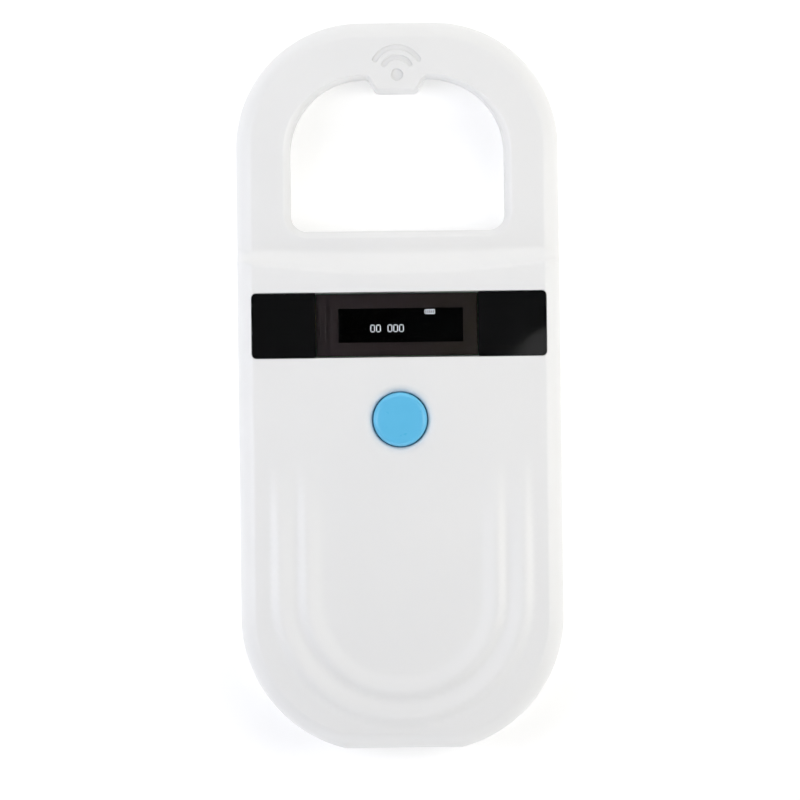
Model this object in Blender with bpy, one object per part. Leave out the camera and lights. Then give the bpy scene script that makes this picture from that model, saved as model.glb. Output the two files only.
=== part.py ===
"""Handheld pet microchip scanner: two shells around a board, a cell and a ring antenna.

It lies on its back. +Y runs from the charging end to the antenna loop, +Z is the side with
the display and the button, and the origin is under the middle of the back. Every dimension
is in millimetres, and mesh_object() turns them into metres.
"""

import math

import bmesh
import bpy
from mathutils import Matrix, Vector
from mathutils.geometry import delaunay_2d_cdt

MM = 0.001

# Outside shape
LENGTH = 135.0
WIDTH = 60.0
THICKNESS = 20.0
PARTING_Z = 9.4
TOP_RADIUS = 23.2
END_RADIUS = 25.3
END_CUT = 0.75  # the flat charging end cuts this much off the round outline
FRONT_FILLET = 3.0
BACK_FILLET = 4.0
WALL = 2.0
INNER_FILLET = 1.0
TOP_CENTRE = (WIDTH / 2 - TOP_RADIUS, LENGTH / 2 - TOP_RADIUS)
END_CENTRE = (WIDTH / 2 - END_RADIUS, END_RADIUS - END_CUT - LENGTH / 2)

# Antenna loop
LOOP_FRONT = 17.4
LOOP_BACK = 3.0
HOLE_X = 20.0
HOLE_LOW = 28.7
HOLE_HIGH = 57.3
HOLE_TOP_RADIUS = 14.0
HOLE_END_RADIUS = 3.2
HOLE_FILLET = 1.5
HOLE_WALL = 1.6
TAB_ROOT_X = 5.3
TAB_END_X = 3.85
TAB_DEPTH = 2.7
RAMP_FOOT_Y = 24.9  # the body starts to rise out of the loop here
RAMP_CREST_Y = 20.6
RAMP_BOW = 2.0  # the crest bows towards the charging end by this much

# Grip ridges on the front: two U shapes round the charging end, which fade out towards the button
RIDGE_CENTRE_Y = -39.8
RIDGE_RADII = (17.1, 22.1)
RIDGE_HEIGHT = 0.35
RIDGE_HALF_WIDTH = 2.0
RIDGE_FADE = (-9.0, -34.0)

# Seam between the shells: the back one's lip stands in the front one's rebate
SEAM_GAP = 0.1
LIP_INSET = 1.1
LIP_HEIGHT = 1.3
LIP_CLEARANCE = 0.15
HOLE_LIP_INSET = 0.8

# Display
WINDOW_Y = 11.2
WINDOW = (54.8, 12.1, 0.95)
WINDOW_RADIUS = 0.9
WINDOW_GAP = 0.15
POCKET_FLOOR = THICKNESS - 1.2
PANEL = (30.0, 11.5, 1.4)
PANEL_X = -0.4
PANEL_TOP = 18.7
PANEL_ROOM = 0.3

# Scan button and its switch
BUTTON_Y = -6.4
BUTTON_RADIUS = 5.0
BUTTON_HOLE_RADIUS = 5.25
BUTTON_TOP = THICKNESS + 0.8
FLANGE_RADIUS = 6.2
FLANGE_Z = (17.0, 17.8)
GUIDE_RADII = (6.5, 7.5)
GUIDE_LOW = 15.7
STEM_RADIUS = 1.7
STEM_LOW = 16.4
SWITCH_SIDE = 6.0
SWITCH_TOP = 15.5
PLUNGER_RADIUS = 1.7
PLUNGER_Z = (14.3, 16.3)

# Board
BOARD_TOP = 12.0
BOARD_THICKNESS = 1.2
BOARD_BACK = BOARD_TOP - BOARD_THICKNESS
BOARD_RIGHT_EDGE = ((21.0, 20.5), (21.0, -44.0), (17.5, -49.5), (14.0, -58.5), (7.0, -65.0))
BOARD_SCREWS = ((-18.2, 1.5), (18.2, 1.5), (0.0, -55.0))
BOARD_BOSS_RADIUS = 2.2

# Case screws
CASE_SCREWS = ((0.0, 58.5), (-24.6, 18.0), (24.6, 18.0), (-22.2, -52.0), (22.2, -52.0))
SCREW_LENGTH = 8.0
SCREW_RADIUS = 1.1
HEAD_RADIUS = 2.0
HEAD_HEIGHT = 1.6
SEAT_DEPTH = 3.2
SEAT_THICKNESS = 1.4
SEAT_HOLE_RADIUS = 1.3
RECESS_RADIUS = 2.2
BACK_BOSS_RADIUS = 2.7
FRONT_BOSS_RADIUS = 2.0
PILOT_RADIUS = 1.2
SCREW_SLACK = 0.1

# Cell
CELL = (30.0, 48.0, 6.0)
CELL_Y = -25.0
CELL_LOW = 2.4

# Antenna coil
COIL_INSET = 5.0
COIL_LOW_Y = 25.2
COIL_END_RADIUS = 5.0
COIL_WIDTH = 2.4
COIL_Z = (6.6, 12.6)
COIL_TAPES = ((-25.0, 38.0, "Y"), (25.0, 38.0, "Y"), (-12.0, COIL_LOW_Y, "X"), (12.0, COIL_LOW_Y, "X"))
COIL_TAPE_THICKNESS = 0.2
COIL_TAPE_LENGTH = 5.0

# Charging socket
SOCKET = (7.5, 5.6, 2.5)
SOCKET_WALL = 0.3
SOCKET_MOUTH_Y = -66.5
SOCKET_RECESS = (11.4, 7.4)
SOCKET_SLOT = (8.1, 3.1)

# Back details
LABEL = (36.0, 22.0, 0.15)
LABEL_Y = -34.0
LABEL_RECESS = 0.3
BUZZER = (10.0, 9.0)
BUZZER_RADIUS = 6.0
BUZZER_HEIGHT = 4.8
SOUND_HOLE_RADIUS = 0.6
SOUND_RING_RADIUS = 3.0

ARC_STEPS = 8
ROUND_STEPS = 32


# ---------------------------------------------------------------- materials and objects


def material(name, colour, roughness, metallic=0.0):
    """A Principled BSDF with one colour, made once for each name."""
    made = bpy.data.materials.get(name) or bpy.data.materials.new(name)
    made.use_nodes = True
    shader = made.node_tree.nodes["Principled BSDF"]
    shader.inputs["Base Color"].default_value = (*colour, 1.0)
    shader.inputs["Roughness"].default_value = roughness
    shader.inputs["Metallic"].default_value = metallic
    return made


def white_abs():
    return material("white_abs", (0.80, 0.80, 0.80), 0.35)


def blue_abs():
    return material("blue_abs", (0.11, 0.50, 0.79), 0.35)


def black_acrylic():
    return material("black_acrylic", (0.01, 0.01, 0.012), 0.08)


def panel_glass():
    return material("panel_glass", (0.02, 0.012, 0.012), 0.1)


def black_plastic():
    return material("black_plastic", (0.02, 0.02, 0.02), 0.45)


def board_green():
    return material("board_green", (0.02, 0.16, 0.06), 0.4)


def copper():
    return material("enamelled_copper", (0.60, 0.22, 0.08), 0.3, 1.0)


def steel():
    return material("plated_steel", (0.62, 0.62, 0.64), 0.3, 1.0)


def amber_film():
    return material("amber_film", (0.55, 0.28, 0.04), 0.4)


def pouch_foil():
    return material("pouch_foil", (0.60, 0.61, 0.63), 0.35, 0.8)


def clear_object_list():
    for old in list(bpy.data.objects):
        bpy.data.objects.remove(old)


def mesh_object(name, bm, look, location=(0, 0, 0), helper=False):
    """Links a bmesh in millimetres as an object in metres; a helper is a cutter or an addition."""
    bmesh.ops.remove_doubles(bm, verts=bm.verts, dist=1e-4)
    bmesh.ops.recalc_face_normals(bm, faces=bm.faces)
    bmesh.ops.scale(bm, verts=bm.verts, vec=(MM, MM, MM))
    mesh = bpy.data.meshes.new(name)
    bm.to_mesh(mesh)
    bm.free()
    mesh.shade_smooth()
    mesh.set_sharp_from_angle(angle=math.radians(35))
    made = bpy.data.objects.new(name, mesh)
    made.location = Vector(location) * MM
    bpy.context.scene.collection.objects.link(made)
    if helper:
        made.hide_render = True
        made.display_type = "WIRE"
    else:
        mesh.materials.append(look)
    return made


def combine(target, operation, tool):
    """Adds an exact Boolean that cuts the tool from the target or joins it on."""
    step = target.modifiers.new(tool.name, "BOOLEAN")
    step.operation = operation
    step.solver = "EXACT"
    step.object = tool


def cut(target, *tools):
    for tool in tools:
        combine(target, "DIFFERENCE", tool)


def join(target, *tools):
    for tool in tools:
        combine(target, "UNION", tool)


# ---------------------------------------------------------------- simple solids


def add_box(bm, centre, size):
    place = Matrix.Translation(centre) @ Matrix.Diagonal((*size, 1.0))
    bmesh.ops.create_cube(bm, size=1.0, matrix=place)


def add_rod(bm, centre, radius, length, segments=ROUND_STEPS):
    place = Matrix.Translation(centre)
    bmesh.ops.create_cone(
        bm, cap_ends=True, segments=segments, radius1=radius, radius2=radius, depth=length, matrix=place
    )


def box(name, centre, size, look=None, bevel=0.0):
    bm = bmesh.new()
    add_box(bm, (0, 0, 0), size)
    if bevel:
        bmesh.ops.bevel(bm, geom=bm.edges, offset=bevel, segments=2, profile=0.5, affect="EDGES")
    return mesh_object(name, bm, look, centre, helper=look is None)


def upright_box(name, centre, size, radius, look=None, steps=3):
    """A box whose four upright edges are rounded."""
    half_x, half_y, half_z = (side / 2 for side in size)
    corners = ((-half_x, -half_y), (half_x, -half_y), (half_x, half_y), (-half_x, half_y))
    outline = rounded_polygon(corners, [radius] * 4, [steps] * 4, 0.0)
    return prism(name, outline, -half_z, half_z, look, centre)


def prism(name, outline, low, high, look=None, centre=(0, 0, 0)):
    """A solid with this outline in XY, from low to high."""
    bm = bmesh.new()
    base = bm.faces.new([bm.verts.new((x, y, low)) for x, y in outline])
    raised = bmesh.ops.extrude_face_region(bm, geom=[base])["geom"]
    verts = [item for item in raised if isinstance(item, bmesh.types.BMVert)]
    bmesh.ops.translate(bm, verts=verts, vec=(0, 0, high - low))
    return mesh_object(name, bm, look, centre, helper=look is None)


def turned(name, profile, centre, look=None, segments=ROUND_STEPS):
    """A solid of revolution about Z: profile is (radius, z) from the axis out and back to it."""
    bm = bmesh.new()
    verts = [bm.verts.new((radius, 0, z)) for radius, z in profile]
    edges = [bm.edges.new(pair) for pair in zip(verts, verts[1:])]
    bmesh.ops.spin(
        bm, geom=verts + edges, cent=(0, 0, 0), axis=(0, 0, 1), angle=math.tau, steps=segments, use_merge=True
    )
    return mesh_object(name, bm, look, centre, helper=look is None)


def lead(name, route, radius, look):
    """A round wire along a smooth curve through the route's points."""
    line = bpy.data.curves.new(name, "CURVE")
    line.dimensions = "3D"
    line.bevel_depth = radius * MM
    line.bevel_resolution = 2
    line.use_fill_caps = True
    points = smooth_route([Vector(p) for p in route], 3)
    spline = line.splines.new("POLY")
    spline.points.add(len(points) - 1)
    for slot, point in zip(spline.points, points):
        slot.co = (*(point * MM), 1.0)
    made = bpy.data.objects.new(name, line)
    line.materials.append(look)
    bpy.context.scene.collection.objects.link(made)
    return made


def smooth_route(route, steps):
    """Catmull-Rom points through the route, with this many steps between two of its points."""
    padded = [2 * route[0] - route[1], *route, 2 * route[-1] - route[-2]]
    points = []
    for a, b, c, d in zip(padded, padded[1:], padded[2:], padded[3:]):
        for step in range(steps):
            t = step / steps
            points.append(
                0.5
                * (2 * b + (c - a) * t + (2 * a - 5 * b + 4 * c - d) * t**2 + (3 * b - a - 3 * c + d) * t**3)
            )
    return [*points, route[-1]]


# ---------------------------------------------------------------- outlines in plan


def arc(centre, radius, start, end, steps):
    """Points on an arc, both ends included, with the angles in degrees."""
    turns = [math.radians(start + (end - start) * step / steps) for step in range(steps + 1)]
    return [(centre[0] + radius * math.cos(a), centre[1] + radius * math.sin(a)) for a in turns]


def side_stations():
    """Y of the points along the straight sides: close together where the front face rises."""
    low, high = END_CENTRE[1], TOP_CENTRE[1]
    ramp = [RAMP_CREST_Y + (RAMP_FOOT_Y - RAMP_CREST_Y) * share for share in (0, 0.25, 0.5, 0.75, 1)]
    return [low + 12, low + 24, low + 36, *ramp, (RAMP_FOOT_Y + high) / 2]


def case_outline(inset):
    """The case's outline moved inwards, anticlockwise, always with the same number of points."""
    end_radius = END_RADIUS - inset
    cut_angle = math.degrees(math.acos((end_radius - END_CUT) / end_radius))
    right = arc(END_CENTRE, end_radius, cut_angle - 90, 0, ARC_STEPS)
    right += [(WIDTH / 2 - inset, y) for y in side_stations()]
    right += arc(TOP_CENTRE, TOP_RADIUS - inset, 0, 90, ARC_STEPS)
    return right + [(-x, y) for x, y in reversed(right)]


def rounded_polygon(corners, radii, steps, outset):
    """An anticlockwise polygon moved outwards, with each corner rounded by its own radius."""
    count = len(corners)
    points = []
    for i in range(count):
        here = Vector(corners[i])
        came = (here - Vector(corners[i - 1])).normalized()
        goes = (Vector(corners[(i + 1) % count]) - here).normalized()
        turn = math.atan2(came.x * goes.y - came.y * goes.x, came.dot(goes))
        outward = Vector((came.y, -came.x)) + Vector((goes.y, -goes.x))
        tip = here + outward.normalized() * (outset / math.cos(turn / 2))
        radius = max(radii[i] + math.copysign(outset, turn), 0.0) if radii[i] else 0.0
        if not radius or not steps[i]:
            points.append(tuple(tip))
            continue
        side = math.copysign(1.0, turn)
        centre = tip - outward.normalized() * side * (radius / math.cos(turn / 2))
        first = math.degrees(math.atan2(-came.x * side, came.y * side))
        points += arc(centre, radius, first, first + math.degrees(turn), steps[i])
    return points


def hole_outline(outset):
    """The loop's opening, with the tab that hangs into it from the top, moved outwards."""
    tab_low = HOLE_HIGH - TAB_DEPTH
    right = [(HOLE_X, HOLE_LOW), (HOLE_X, HOLE_HIGH), (TAB_ROOT_X, HOLE_HIGH), (TAB_END_X, tab_low)]
    corners = right + [(-x, y) for x, y in reversed(right)]
    radii = [HOLE_END_RADIUS, HOLE_TOP_RADIUS, 0, 0]
    steps = [3, ARC_STEPS - 2, 0, 0]
    return rounded_polygon(corners, radii + radii[::-1], steps + steps[::-1], outset)


# ---------------------------------------------------------------- heights of the faces


def ease(share):
    """Smooth step from 0 to 1."""
    share = min(1.0, max(0.0, share))
    return share * share * (3 - 2 * share)


def ramp_crest(x):
    return RAMP_CREST_Y + RAMP_BOW * (2 * x / WIDTH) ** 2


def body_share(x, y):
    """0 on the loop, 1 on the body, and between them on the ramp."""
    crest = ramp_crest(x)
    return ease((RAMP_FOOT_Y - y) / (RAMP_FOOT_Y - crest))


def ridge_share(x, y):
    """1 on the line of a ridge and 0 away from both."""
    across = abs(x) if y > RIDGE_CENTRE_Y else math.hypot(x, y - RIDGE_CENTRE_Y)
    nearest = min(abs(across - radius) for radius in RIDGE_RADII)
    return ease(1 - nearest / RIDGE_HALF_WIDTH)


def front_height(x, y):
    fade = ease((RIDGE_FADE[0] - y) / (RIDGE_FADE[0] - RIDGE_FADE[1]))
    step = (THICKNESS - LOOP_FRONT) * body_share(x, y)
    return LOOP_FRONT + step + RIDGE_HEIGHT * fade * ridge_share(x, y)


def back_height(x, y):
    return LOOP_BACK * (1 - body_share(x, y))


# ---------------------------------------------------------------- shells


def ring(bm, outline, height):
    return [bm.verts.new((x, y, height(x, y))) for x, y in outline]


def wall(bm, outline, stations):
    """Bridges one ring to the next; a station is (offset of the outline, height function)."""
    rings = [ring(bm, outline(offset), height) for offset, height in stations]
    for lower, upper in zip(rings, rings[1:]):
        for i in range(len(lower)):
            j = (i + 1) % len(lower)
            bm.faces.new((lower[i], lower[j], upper[j], upper[i]))


def fill(bm, border, hole, points, height):
    """Triangles between a border and a hole, through the given points, lifted to the height."""
    flat = [Vector(p) for p in [*border, *hole, *points]]
    loops = []
    for start, size in ((0, len(border)), (len(border), len(hole))):
        loops += [(start + i, start + (i + 1) % size) for i in range(size)]
    made = delaunay_2d_cdt(flat, loops, [], 0, 1e-6)
    verts = [bm.verts.new((p.x, p.y, height(p.x, p.y))) for p in made[0]]
    for corners in made[2]:
        middle = sum((made[0][c] for c in corners), Vector((0, 0))) / 3
        if inside(middle, border) and not inside(middle, hole):
            bm.faces.new([verts[c] for c in corners])


def inside(point, outline):
    """Even-odd test of a point against an outline."""
    hit = False
    for (x1, y1), (x2, y2) in zip(outline, outline[1:] + outline[:1]):
        if (y1 > point.y) != (y2 > point.y):
            hit ^= point.x < (x2 - x1) * (point.y - y1) / (y2 - y1) + x1
    return hit


def rounded_edge(outline_height, radius, sign, steps):
    """Stations of a fillet from the face out to the side; sign is +1 on the front, -1 on the back."""
    stations = []
    for step in range(steps, -1, -1):
        angle = math.radians(90 * step / steps)
        inset = radius * (1 - math.cos(angle))
        drop = radius * (1 - math.sin(angle))
        stations.append((inset, lambda x, y, drop=drop: outline_height(x, y) - sign * drop))
    return stations


def level(z):
    return lambda x, y: z


def ramp_points():
    """Points across the ramp, in rows that follow its bowed crest."""
    columns = [WIDTH * share for share in (-0.4, -0.27, -0.13, 0, 0.13, 0.27, 0.4)]
    rows = (0, 0.25, 0.5, 0.75, 1)
    return [(x, RAMP_FOOT_Y + (ramp_crest(x) - RAMP_FOOT_Y) * share) for share in rows for x in columns]


def ridge_points():
    """Points along the crest and both feet of each ridge."""
    points = []
    for radius in RIDGE_RADII:
        for outset in (-RIDGE_HALF_WIDTH, 0, RIDGE_HALF_WIDTH):
            across = radius + outset
            right = arc((0, RIDGE_CENTRE_Y), across, -82.5, 0, 6)
            right += [(across, y) for y in (-32, -24, -16, -9)]
            points += right + [(-x, y) for x, y in right]
    return points


def shell(name, outer, fillet, sign, points):
    """Half of the case: a face that follows outer(), rounded edges, walls and a stepped rim."""
    bm = bmesh.new()

    def inner(x, y):
        return outer(x, y) - sign * WALL

    rim_z = PARTING_Z + sign * SEAM_GAP / 2
    step_z = PARTING_Z + LIP_HEIGHT + (LIP_CLEARANCE if sign > 0 else 0.0)
    slack = 0.0 if sign > 0 else LIP_CLEARANCE
    sides = (
        (case_outline, fillet, WALL, LIP_INSET),
        (hole_outline, HOLE_FILLET, HOLE_WALL, HOLE_LIP_INSET),
    )
    for outline, edge, thickness, lip_inset in sides:
        stations = rounded_edge(outer, edge, sign, 3)
        stations += [(0.0, level(rim_z)), (lip_inset + slack, level(rim_z))]
        stations += [(lip_inset + slack, level(step_z)), (thickness, level(step_z))]
        inner_edge = rounded_edge(inner, INNER_FILLET, sign, 1)
        stations += [(thickness + inset, height) for inset, height in reversed(inner_edge)]
        wall(bm, outline, stations)
    fill(bm, case_outline(fillet), hole_outline(HOLE_FILLET), points, outer)
    inside_border = case_outline(WALL + INNER_FILLET)
    inside_hole = hole_outline(HOLE_WALL + INNER_FILLET)
    fill(bm, inside_border, inside_hole, points, inner)
    return mesh_object(name, bm, white_abs())


def boss(name, place, radius, low, high):
    bm = bmesh.new()
    add_rod(bm, (*place, (low + high) / 2), radius, high - low, 20)
    return mesh_object(name, bm, None, helper=True)


def seat_z(place):
    """Where a case screw's head bears, below the outside of the back."""
    return back_height(*place) + SEAT_DEPTH


def front_cover():
    cover = shell("front_cover", front_height, FRONT_FILLET, 1, ramp_points() + ridge_points())
    for number, place in enumerate(CASE_SCREWS, 1):
        low = seat_z(place) + SEAT_THICKNESS + SCREW_SLACK
        high = front_height(*place) - WALL / 2
        join(cover, boss(f"front_boss_{number}", place, FRONT_BOSS_RADIUS, low, high))
        top = seat_z(place) + SCREW_LENGTH + 0.5
        cut(cover, boss(f"front_pilot_{number}", place, PILOT_RADIUS, low - 1, top))
    for number, place in enumerate(BOARD_SCREWS, 1):
        high = front_height(*place) - WALL / 2
        join(cover, boss(f"board_boss_{number}", place, BOARD_BOSS_RADIUS, BOARD_TOP + SCREW_SLACK, high))
        cut(cover, boss(f"board_pilot_{number}", place, 0.9, BOARD_TOP - 1, high - 0.6))
    guide_outer, guide_inner = GUIDE_RADII[1], GUIDE_RADII[0]
    button_place = (0.0, BUTTON_Y)
    join(cover, boss("button_guide", button_place, guide_outer, GUIDE_LOW, THICKNESS - WALL / 2))
    cut(cover, boss("button_guide_bore", button_place, guide_inner, GUIDE_LOW - 1, THICKNESS - WALL))
    cut(cover, boss("button_hole", button_place, BUTTON_HOLE_RADIUS, 10, THICKNESS + 1))
    pocket_size = (WINDOW[0] + 2 * WINDOW_GAP, WINDOW[1] + 2 * WINDOW_GAP, 4.0)
    pocket_centre = (0, WINDOW_Y, POCKET_FLOOR + 2)
    cut(cover, upright_box("window_pocket", pocket_centre, pocket_size, WINDOW_RADIUS))
    room = (PANEL[0] + 2 * PANEL_ROOM, PANEL[1] + PANEL_ROOM, 6.0)
    cut(cover, box("panel_aperture", (PANEL_X, WINDOW_Y, POCKET_FLOOR), room))
    cut(cover, *socket_openings("front"))
    return cover


def socket_openings(side):
    """The recess for the plug's grip and the slot for the socket, through the charging end."""
    outer_y = -LENGTH / 2
    centre_z = BOARD_BACK - 0.1 - SOCKET[2] / 2
    recess = (SOCKET_RECESS[0], 2 * (SOCKET_MOUTH_Y - outer_y), SOCKET_RECESS[1])
    slot = (SOCKET_SLOT[0], 8.0, SOCKET_SLOT[1])
    yield box(f"{side}_plug_recess", (0, outer_y, centre_z), recess)
    yield box(f"{side}_socket_slot", (0, outer_y, centre_z), slot)


def back_cover():
    cover = shell("rear_cover", back_height, BACK_FILLET, -1, ramp_points())
    for number, place in enumerate(CASE_SCREWS, 1):
        seat = seat_z(place)
        floor = back_height(*place)
        tube = boss(f"back_boss_{number}", place, BACK_BOSS_RADIUS, floor + WALL / 2, seat + SEAT_THICKNESS)
        join(cover, tube)
        cut(cover, boss(f"screw_recess_{number}", place, RECESS_RADIUS, floor - 2, seat))
        cut(cover, boss(f"screw_hole_{number}", place, SEAT_HOLE_RADIUS, seat - 1, seat + SEAT_THICKNESS + 1))
    join(cover, *cell_ribs(), *coil_rests())
    label_centre = (0, LABEL_Y, LABEL_RECESS - 2)
    cut(cover, upright_box("label_recess", label_centre, (LABEL[0] + 0.4, LABEL[1] + 0.4, 4.0), 1.2))
    cut(cover, sound_holes(), *socket_openings("back"))
    return cover


def cell_ribs():
    """Low walls that stop the cell from sliding."""
    rib_height = 4.0
    middle_z = WALL / 2 + rib_height / 2
    side_x = CELL[0] / 2 + 0.9
    end_y = CELL[1] / 2 + 0.9
    for sign in (-1, 1):
        for offset in (-14.0, 14.0):
            centre = (sign * side_x, CELL_Y + offset, middle_z)
            yield box(f"cell_rib_{sign}_{offset:.0f}", centre, (1.2, 8.0, rib_height))
        centre = (9.0 * sign, CELL_Y - end_y, middle_z)
        yield box(f"cell_end_rib_{sign}", centre, (8.0, 1.2, rib_height))


def coil_rests():
    """Blocks on the back's inside that carry the coil."""
    top = COIL_Z[0] - 0.1
    side_x = WIDTH / 2 - COIL_INSET
    top_y = LENGTH / 2 - COIL_INSET
    places = ((-side_x, 44.0), (side_x, 44.0), (-7.5, top_y), (7.5, top_y), (0.0, COIL_LOW_Y))
    for number, (x, y) in enumerate(places, 1):
        low = back_height(x, y) + WALL / 2
        yield box(f"coil_rest_{number}", (x, y, (low + top) / 2), (3.0, 3.0, top - low))


def sound_holes():
    bm = bmesh.new()
    add_rod(bm, (*BUZZER, 0), SOUND_HOLE_RADIUS, 8.0, 12)
    for step in range(6):
        turn = math.radians(60 * step)
        x = BUZZER[0] + SOUND_RING_RADIUS * math.cos(turn)
        y = BUZZER[1] + SOUND_RING_RADIUS * math.sin(turn)
        add_rod(bm, (x, y, 0), SOUND_HOLE_RADIUS, 8.0, 12)
    return mesh_object("sound_holes", bm, None, helper=True)


# ---------------------------------------------------------------- display


def display():
    lens_z = THICKNESS - 0.05 - WINDOW[2] / 2
    upright_box("display_lens", (0, WINDOW_Y, lens_z), WINDOW, WINDOW_RADIUS, black_acrylic())
    tape_low, tape_high = POCKET_FLOOR + 0.05, THICKNESS - 0.05 - WINDOW[2] - 0.05
    for side, sign in (("left", -1), ("right", 1)):
        inner_x = PANEL_X * sign + PANEL[0] / 2 + PANEL_ROOM + 0.2
        outer_x = WINDOW[0] / 2 - 0.4
        size = (outer_x - inner_x, WINDOW[1] - 0.8, tape_high - tape_low)
        centre = (sign * (outer_x + inner_x) / 2, WINDOW_Y, (tape_low + tape_high) / 2)
        box(f"lens_tape_{side}", centre, size, black_plastic())
    box("oled_panel", (PANEL_X, WINDOW_Y, PANEL_TOP - PANEL[2] / 2), PANEL, panel_glass(), 0.08)
    display_holder()
    panel_flex()


def display_holder():
    """An open-bottomed tray that props the panel up from the board."""
    high = PANEL_TOP - PANEL[2] - 0.1
    low = BOARD_TOP + 0.1
    size = (PANEL[0] - 1.0, PANEL[1] - 0.5, high - low)
    holder = box("display_holder", (PANEL_X, WINDOW_Y, (low + high) / 2), size, black_plastic())
    room = (size[0] - 2.4, size[1] - 2.4, size[2])
    cut(holder, box("display_holder_room", (PANEL_X, WINDOW_Y, (low + high) / 2 - 1.2), room))


def panel_flex():
    """The panel's ribbon, which drops in an S from its left edge to the connector."""
    width, thickness = 8.4, 0.2
    start_x = PANEL_X - PANEL[0] / 2 - 0.1
    high, low = PANEL_TOP - 1.0, BOARD_TOP + 0.9
    bend = 0.9
    top_turn = [(x, z) for x, z in arc((start_x - 0.5, high - bend), bend, 90, 180, 4)]
    foot_turn = [(x, z) for x, z in arc((start_x - 0.5 - 2 * bend, low + bend), bend, 0, -90, 4)]
    line = [(start_x, high), *top_turn, *foot_turn, (start_x - 0.8 - 2 * bend, low)]
    upper, lower = [], []
    for i, here in enumerate(line):
        ahead = Vector(line[min(i + 1, len(line) - 1)]) - Vector(line[max(i - 1, 0)])
        side = Vector((-ahead.y, ahead.x)).normalized() * thickness / 2
        upper.append((here[0] + side.x, here[1] + side.y))
        lower.append((here[0] - side.x, here[1] - side.y))
    bm = bmesh.new()
    outline = upper + lower[::-1]
    base = bm.faces.new([bm.verts.new((x, -width / 2, z)) for x, z in outline])
    raised = bmesh.ops.extrude_face_region(bm, geom=[base])["geom"]
    verts = [item for item in raised if isinstance(item, bmesh.types.BMVert)]
    bmesh.ops.translate(bm, verts=verts, vec=(0, width, 0))
    mesh_object("oled_flex", bm, amber_film(), (0, WINDOW_Y, 0))
    connector_x = start_x - 0.9 - 2 * bend - 1.6
    box("flex_connector", (connector_x, WINDOW_Y, BOARD_TOP + 0.95), (3.0, 10.0, 1.8), black_plastic(), 0.1)


# ---------------------------------------------------------------- button and switch


def scan_button():
    """A cap with a rounded rim, a flange that keeps it in, and a stem that stands on the switch."""
    edge = 0.6
    rim = [(radius, z) for radius, z in arc((BUTTON_RADIUS - edge, BUTTON_TOP - edge), edge, 90, 0, 4)]
    flange_low, flange_high = FLANGE_Z
    profile = [(0, BUTTON_TOP), *rim, (BUTTON_RADIUS, flange_high), (FLANGE_RADIUS, flange_high)]
    profile += [(FLANGE_RADIUS, flange_low), (STEM_RADIUS, flange_low)]
    profile += [(STEM_RADIUS, STEM_LOW), (0, STEM_LOW)]
    turned("scan_button", profile, (0, BUTTON_Y, 0), blue_abs(), 40)


def tactile_switch():
    low = BOARD_TOP + 0.1
    centre = (0, BUTTON_Y, (low + SWITCH_TOP) / 2)
    size = (SWITCH_SIDE, SWITCH_SIDE, SWITCH_TOP - low)
    body = box("switch_body", centre, size, black_plastic(), 0.25)
    cut(body, boss("plunger_bore", (0, BUTTON_Y), PLUNGER_RADIUS + 0.2, PLUNGER_Z[0] - 0.8, SWITCH_TOP + 1))
    low, high = PLUNGER_Z
    profile = [(0, high), (PLUNGER_RADIUS - 0.2, high), (PLUNGER_RADIUS, high - 0.2), (PLUNGER_RADIUS, low)]
    turned("switch_plunger", [*profile, (0, low)], (0, BUTTON_Y, 0), black_plastic(), 20)


# ---------------------------------------------------------------- board and what it carries


def main_board():
    outline = [(-x, y) for x, y in BOARD_RIGHT_EDGE] + [(x, y) for x, y in reversed(BOARD_RIGHT_EDGE)]
    board = prism("main_board", outline, BOARD_BACK, BOARD_TOP, board_green())
    for number, place in enumerate(BOARD_SCREWS, 1):
        cut(board, boss(f"board_hole_{number}", place, 1.2, BOARD_BACK - 1, BOARD_TOP + 1))


def on_board(name, place, size, look, bevel=0.1):
    """A part on the side of the board that faces the front."""
    box(name, (*place, BOARD_TOP + 0.1 + size[2] / 2), size, look, bevel)


def board_parts():
    on_board("controller_chip", (-9.5, -19.0), (7.0, 7.0, 1.4), black_plastic())
    on_board("reader_chip", (9.5, -19.0), (7.5, 10.3, 2.3), black_plastic())
    on_board("charger_chip", (9.0, -47.0), (4.0, 5.0, 1.5), black_plastic())
    on_board("crystal", (-9.5, -30.0), (11.4, 4.7, 3.2), steel(), 0.6)
    on_board("power_inductor", (-9.0, -46.0), (6.0, 6.0, 2.8), black_plastic(), 0.4)
    on_board("tuning_capacitor_1", (8.0, -31.0), (7.2, 3.5, 3.6), amber_film(), 0.4)
    on_board("tuning_capacitor_2", (8.0, -37.0), (7.2, 3.5, 3.6), amber_film(), 0.4)
    buzzer_top = BOARD_BACK - 0.1
    low = buzzer_top - BUZZER_HEIGHT
    inner = BUZZER_RADIUS / 4
    profile = [(0, buzzer_top), (BUZZER_RADIUS, buzzer_top), (BUZZER_RADIUS, low + 0.4)]
    profile += [(BUZZER_RADIUS - 0.4, low), (inner, low), (inner, low + 1.5), (0, low + 1.5)]
    turned("buzzer", profile, (*BUZZER, 0), black_plastic(), 24)


def charging_socket():
    """A steel shell, open at the mouth, with the contact tongue inside it."""
    width, depth, height = SOCKET
    centre = (0, SOCKET_MOUTH_Y + depth / 2, BOARD_BACK - 0.1 - height / 2)
    body = box("socket_shell", centre, SOCKET, steel(), 0.3)
    room = (width - 2 * SOCKET_WALL, depth, height - 2 * SOCKET_WALL)
    cut(body, box("socket_room", (0, centre[1] - 0.8, centre[2]), room))
    tongue = (3.8, 3.6, 0.6)
    place = (0, centre[1] + depth / 2 - 0.9 - tongue[1] / 2, centre[2] + 0.2)
    box("socket_tongue", place, tongue, black_plastic())


# ---------------------------------------------------------------- cell and its leads


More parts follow.
